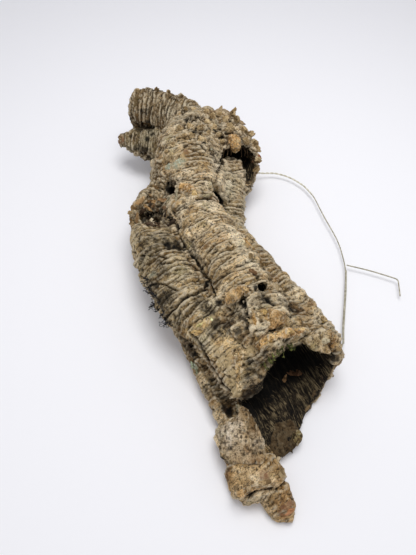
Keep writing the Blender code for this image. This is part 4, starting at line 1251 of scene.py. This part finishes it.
class CORKTUBE_OT_wire(bpy.types.Operator):
    """Makes the tie wire: a twisted pair from the cave, a plain run, a doubled run and a spur"""
    bl_idname = "corktube.wire"
    bl_label = "Tie wire"

    def execute(self, context):
        settings = context.scene.corktube_wire
        material = tie_wire_material()
        tree = wire_tree()
        parts = []
        for table, thick, spread in (
                (TWISTED, 0.85, 0.5), (PLAIN, 1.0, 0.0), (DOUBLED, 1.0, 0.0), (SPUR, 1.0, 0.0)):
            path = smooth_path(placed(table), WIRE_STEP)
            mesh = bpy.data.meshes.new("wire path")
            mesh.from_pydata([tuple(p) for p in path], [(i, i + 1) for i in range(len(path) - 1)], [])
            parts.append(with_tree(new_object("wire_part", mesh), tree, {
                "Diameter": settings.diameter * thick, "Pitch": settings.pitch, "Spread": spread * MM,
                "Material": material}))
        wire = parts[0]
        with context.temp_override(active_object=wire, selected_editable_objects=parts,
                                   selected_objects=parts):
            bpy.ops.object.join()
        wire.name = "tie_wire"
        shade_smooth(wire.data)
        finished(wire, material, WIRE_NODE)
        return {"FINISHED"}


def plate_block(tree, name, outline, anchors, thick):
    """A flat block in a loose plate's outline: the object, its middle, and the way that it faces."""
    found = [seen_at(tree, px, py) for px, py in anchors]
    centre = sum((place for place, _ in found), Vector()) / len(found)
    normal = sum((facing for _, facing in found), Vector()).normalized() + Vector((0, 0, 0.6))
    normal.normalize()
    ring = []
    for px, py in outline:
        ray = view_ray(px, py)
        ring.append(CAMERA_PLACE + ray * ((centre - CAMERA_PLACE).dot(normal) / ray.dot(normal)))
    count = len(ring)
    vertices = [p + normal * (0.3 * thick * MM) for p in ring]
    vertices += [p - normal * (0.7 * thick * MM) for p in ring]
    faces = [list(range(count)), list(range(2 * count - 1, count - 1, -1))]
    faces += [[i, count + i, count + (i + 1) % count, (i + 1) % count] for i in range(count)]
    mesh = bpy.data.meshes.new(name)
    mesh.from_pydata(vertices, [], faces)
    shape = bmesh.new()
    shape.from_mesh(mesh)
    bmesh.ops.recalc_face_normals(shape, faces=shape.faces)
    shape.to_mesh(mesh)
    shape.free()
    return new_object(name.replace(" ", "_"), mesh), centre, normal


def bark_height(points, edges, tree, centre, normal):
    """How high the bark under each point of a plate is, carried on smoothly where the plate overhangs."""
    height = np.full(len(points), np.nan)
    for i, point in enumerate(points):
        hit = tree.ray_cast(Vector(point) + normal * 0.02, -normal, 0.04)[0]
        if hit is not None and abs((hit - centre).dot(normal)) < 0.007:
            height[i] = (hit - centre).dot(normal)
    free = np.isnan(height)
    height[free] = np.median(height[~free])
    for _ in range(90):
        height[free] = averaged(height, edges, 1)[free]
    return averaged(height, edges, 8)


class CORKTUBE_OT_slabs(bpy.types.Operator):
    """Makes the loose plates of bark at the mouth, on the strip, by the knot hole and in the ear"""
    bl_idname = "corktube.slabs"
    bl_label = "Loose plates"

    def execute(self, context):
        tree = bark_lookup(context)
        for number, (name, outline, anchors, thick, lift, tone, torn) in enumerate(SLABS):
            obj, centre, normal = plate_block(tree, name, outline, anchors, thick)
            mesh, edges = remeshed(obj, PLATE_GRID)
            points = averaged(read_vertices(mesh), edges, 2)
            points += np.outer(bark_height(points, edges, tree, centre, normal) + lift * MM, np.array(normal))
            write_vertices(mesh, points)
            facing = averaged(read_vertices(mesh, "normal"), edges, 2)
            right, up = picture_axes(normal)
            local = points - np.array(centre)
            grain = local @ np.column_stack((0.4 * np.array(up), right, normal)) + number
            relief = 0.0009 * noise(points, 0.007, 160) + 0.0005 * noise(points, 0.0028, 161)
            rise = np.zeros(len(points))
            for size, height, seed in ((0.009, 0.0006, 162), (0.0042, 0.0005, 163)):
                step, _ = chunks(grain * (0.8, 1.0, 1.0), size, seed)
                relief += height * step
                rise += 0.16 * step
            crumb, edge = chunks(points, 0.004, 164)
            relief += torn * (0.0012 * crumb - 0.0014 * (1 - step_up(edge, 0.0, 0.25)))
            shaped = points + facing * relief[:, None]
            write_vertices(mesh, shaped)
            fine = dip(shaped, read_vertices(mesh, "normal"), edges, 3)
            # Painted shade in each plate's dips, and a painted highlight on its lips that is fainter on a
            # darker plate
            highlight_share = min(1.0, 2.4 * to_linear(tone)[1] ** 1.3)
            set_attribute(mesh, "hollow", step_up(fine, 0.0001, 0.0005))
            set_attribute(mesh, "lip", step_up(-fine, 0.0001, 0.0005) * highlight_share)
            set_attribute(mesh, "torn", np.full(len(points), torn))
            set_attribute(mesh, "rise", rise + 0.7 * torn * crumb)
            set_attribute(mesh, "tone", np.tile(to_linear(tone)[:3], (len(points), 1)), "FLOAT_COLOR")
            set_attribute(mesh, "grain", grain, "FLOAT_VECTOR")
            shade_smooth(mesh)
            finished(obj, bpy.data.materials["weathered cork bark"])
        return {"FINISHED"}


class CORKTUBE_OT_lumps(bpy.types.Operator):
    """Makes the lumps of broken cork round the ear, on the limb above it and by the mouth"""
    bl_idname = "corktube.lumps"
    bl_label = "Broken cork lumps"

    def execute(self, context):
        tree = bark_lookup(context)
        shape = bmesh.new()
        paleness = []
        for number, (px, py, half, pale) in enumerate(LUMPS):
            centre, normal = seen_at(tree, px, py)
            lump = bmesh.ops.create_icosphere(shape, subdivisions=4, radius=1.0)["verts"]
            ball = np.array([v.co[:] for v in lump])
            chance = np.random.default_rng(number)
            stretch = chance.uniform(0.75, 1.25, 3)
            offset = chance.uniform(-50, 50, 3)
            crumb, edge = chunks(ball * 1.15 + offset, 0.62, 100 + number)
            swell = 1 + 0.24 * crumb - 0.28 * (1 - step_up(edge, 0.02, 0.3))
            swell += 0.12 * noise(ball + offset, 0.3, 130 + number)
            for vertex, place in zip(lump, ball * stretch * swell[:, None] * half * MM):
                vertex.co = centre + normal * (0.25 * half * MM) + Vector(place)
            paleness += [pale] * len(lump)
        mesh = bpy.data.meshes.new("cork_lumps")
        shape.to_mesh(mesh)
        shape.free()
        dark, light = np.array(to_linear("#ac946d")[:3]), np.array(to_linear("#ffe9bd")[:3])
        share = np.array(paleness)[:, None]
        set_attribute(mesh, "tone", dark * (1 - share) + light * share, "FLOAT_COLOR")
        finished(new_object("cork_lumps", mesh), broken_cork_material())
        return {"FINISHED"}


class CORKTUBE_OT_crumbs(bpy.types.Operator):
    """Strews crumbs of cork over every torn place"""
    bl_idname = "corktube.crumbs"
    bl_label = "Cork crumbs"

    def execute(self, context):
        settings = context.scene.corktube_crumbs
        material = bpy.data.materials["broken cork"]
        piece = with_tree(face_bed("cork_crumbs", "torn"), strewn_tree("Crumbs on torn cork"), {
            "Spacing": settings.spacing, "Density": 90000.0, "Smallest": settings.smallest,
            "Largest": settings.largest, "Shape": (1.0, 0.75, 0.5), "Tilt": 0.6, "Raggedness": 0.0022,
            "Seed": 4, "Material": material})
        finished(piece, material)
        return {"FINISHED"}


class CORKTUBE_OT_flakes(bpy.types.Operator):
    """Makes the curled flakes of bark"""
    bl_idname = "corktube.flakes"
    bl_label = "Bark flakes"

    def execute(self, context):
        tree = bark_lookup(context)
        vertices, faces, tones = [], [], []
        for number, (px, py, length, width, turn, lift, curl, tone) in enumerate(FLAKES):
            centre, normal = seen_at(tree, px, py)
            some, plates = flake_shape(centre, normal, length, width, turn, lift, curl, number)
            faces += [[len(vertices) + v for v in plate] for plate in plates]
            vertices += some
            tones += [to_linear(tone)[:3]] * len(some)
        mesh = bpy.data.meshes.new("bark_flakes")
        mesh.from_pydata(vertices, [], faces)
        set_attribute(mesh, "tone", tones, "FLOAT_COLOR")
        flakes = new_object("bark_flakes", mesh)
        smooth = flakes.modifiers.new("rounding", "SUBSURF")
        smooth.levels = smooth.render_levels = 1
        applied(flakes)
        points = read_vertices(flakes.data)
        points += 0.0005 * np.column_stack([noise(points, 0.0016, 140 + k) for k in range(3)])
        write_vertices(flakes.data, points)
        finished(flakes, bpy.data.materials["broken cork"])
        return {"FINISHED"}


class CORKTUBE_OT_growths(bpy.types.Operator):
    """Makes the black beard lichen, the moss under the arch and the pale lichen rosettes"""
    bl_idname = "corktube.growths"
    bl_label = "Lichen and moss"

    def execute(self, context):
        tree = bark_lookup(context)
        # Beard lichen: forked black threads 0.75 mm thick, brittle and dry
        lines = []
        chance = np.random.default_rng(21)
        for px, py in TUFTS:
            centre, normal = seen_at(tree, px, py)
            for _ in range(9):
                lean = np.array(normal) * 0.7 + chance.normal(0, 0.55, 3)
                lean /= np.linalg.norm(lean)
                line = [np.array(centre) + chance.normal(0, 0.0012, 3)]
                for _ in range(int(chance.integers(4, 8))):
                    lean = lean + chance.normal(0, 0.38, 3)
                    lean /= np.linalg.norm(lean)
                    line.append(line[-1] + lean * 0.0011)
                    if chance.random() < 0.55:
                        fork = lean + chance.normal(0, 0.8, 3)
                        lines.append([line[-1], line[-1] + fork / np.linalg.norm(fork) * 0.0016])
                lines.append(line)
        black = growth_material("black beard lichen", ("#0c0c0c", "#1b1b1c", "#34353a"), 500.0, 0.7)
        fibres("black_lichen", lines, 0.00075, 0.4, black)

        # Moss: pointed leaves 1.7 mm long on stems that hang in the dark under the arch
        lines = []
        for px, py in MOSS_SPOTS:
            root, normal = seen_at(tree, px - 2, py - 5)
            hang = CAMERA_PLACE + view_ray(px, py) * ((root - CAMERA_PLACE).length + 0.003)
            for _ in range(3):
                end = np.array(hang) + chance.normal(0, 0.0014, 3)
                stem = [np.array(root), (np.array(root) + end) / 2 + chance.normal(0, 0.0005, 3), end]
                lines.append(stem)
                for point in stem[1:]:
                    for _ in range(3):
                        leaf = chance.normal(0, 1.0, 3)
                        lines.append([point, point + leaf / np.linalg.norm(leaf) * 0.0017])
        green = growth_material("dry green moss", ("#20230d", "#4a4f22", "#8d8f50"), 300.0, 0.8)
        fibres("moss", lines, 0.0009, 0.2, green)

        # Crust lichen: mint-grey rosettes 1 to 2.4 mm wide
        mint = growth_material("mint crust lichen", ("#949a84", "#b9bfa9", "#dfe2d2"), 400.0, 0.9)
        piece = with_tree(face_bed("pale_lichen", "mint"), strewn_tree("Lichen rosettes"), {
            "Spacing": 0.0016, "Density": 200000.0, "Smallest": 0.0005, "Largest": 0.0012,
            "Shape": (1.0, 1.0, 0.4), "Tilt": 0.3, "Raggedness": 0.0007, "Seed": 9, "Material": mint})
        finished(piece, mint)
        return {"FINISHED"}


class CORKTUBE_OT_splinters(bpy.types.Operator):
    """Makes the fibres that hang in the ear and the ribs that run along the inner wall"""
    bl_idname = "corktube.splinters"
    bl_label = "Fibres and splinters"

    def execute(self, context):
        tree = bark_lookup(context)
        chance = np.random.default_rng(33)
        lines = []
        for px in CAVE_FIBRES:
            top, normal = seen_at(tree, px, 147 + chance.uniform(-1, 2))
            line = [np.array(top) + np.array(normal) * 0.0005]
            for _ in range(5):
                line.append(line[-1] + np.array((0.0, -0.0004, -0.0022)) + chance.normal(0, 0.0003, 3))
            lines.append(line)
        brown = growth_material("dry bark fibre", ("#2a2018", "#4f3f2c", "#8a7252"), 250.0, 0.85)
        fibres("cave_fibres", lines, 0.0014, 0.5, brown)

        # Ribs on the inner wall, which run down to the right in the photograph
        lines = []
        for _ in range(420):
            px, py = chance.uniform(262, 326), chance.uniform(362, 448)
            if px + 0.62 * py > 548 or px + 0.25 * py < 352:
                continue
            if py < 404 - 0.62 * (px - 253) and chance.random() < 0.9:
                continue
            line = []
            slope = chance.uniform(0.7, 1.5)
            for _ in range(int(chance.integers(4, 9))):
                hit = tree.ray_cast(CAMERA_PLACE, view_ray(px, py))
                if hit[0] is None:
                    break
                line.append(np.array(hit[0]) + np.array(hit[1]) * 0.0002 + chance.normal(0, 0.0002, 3))
                px, py = px + 1.9, py + 1.9 * slope + chance.uniform(-0.6, 0.6)
            steps = [np.linalg.norm(b - a) for a, b in zip(line, line[1:])]
            if len(line) > 2 and max(steps) < 0.008:
                lines.append(line)
        wall = growth_material("inner bark rib", ("#0e0b08", "#342b1f", "#8a7a5c"), 160.0, 0.85)
        fibres("wall_ribs", lines, 0.0007, 0.6, wall)
        return {"FINISHED"}


class CORKTUBE_PT_panel(bpy.types.Panel):
    """Lists the pieces of the cork tube"""
    bl_idname = "CORKTUBE_PT_panel"
    bl_label = "Cork bark tube"
    bl_space_type = "VIEW_3D"
    bl_region_type = "UI"
    bl_category = "Cork tube"

    def draw(self, context):
        for step in STEPS:
            self.layout.operator("corktube." + step)


STEPS = ("stage", "bark", "slabs", "lumps", "crumbs", "flakes", "growths", "splinters", "wire")
CLASSES = (
    CorkBarkSettings, CorkCrumbSettings, CorkWireSettings, CorkStageSettings, CORKTUBE_OT_stage,
    CORKTUBE_OT_bark, CORKTUBE_OT_slabs, CORKTUBE_OT_lumps, CORKTUBE_OT_crumbs, CORKTUBE_OT_flakes,
    CORKTUBE_OT_growths, CORKTUBE_OT_splinters, CORKTUBE_OT_wire, CORKTUBE_PT_panel)
SETTINGS = {
    "corktube_bark": CorkBarkSettings, "corktube_crumbs": CorkCrumbSettings,
    "corktube_wire": CorkWireSettings, "corktube_stage": CorkStageSettings}


def register():
    """Registers the classes and hangs the settings on the scene."""
    for kind in CLASSES:
        bpy.utils.register_class(kind)
    for name, kind in SETTINGS.items():
        setattr(bpy.types.Scene, name, bpy.props.PointerProperty(type=kind))


def unregister():
    """Takes the settings and the classes away."""
    for name in SETTINGS:
        delattr(bpy.types.Scene, name)
    for kind in reversed(CLASSES):
        bpy.utils.unregister_class(kind)


def main():
    """Makes every piece in order."""
    register()
    for step in STEPS:
        getattr(bpy.ops.corktube, step)()


if __name__ == "__main__":
    main()
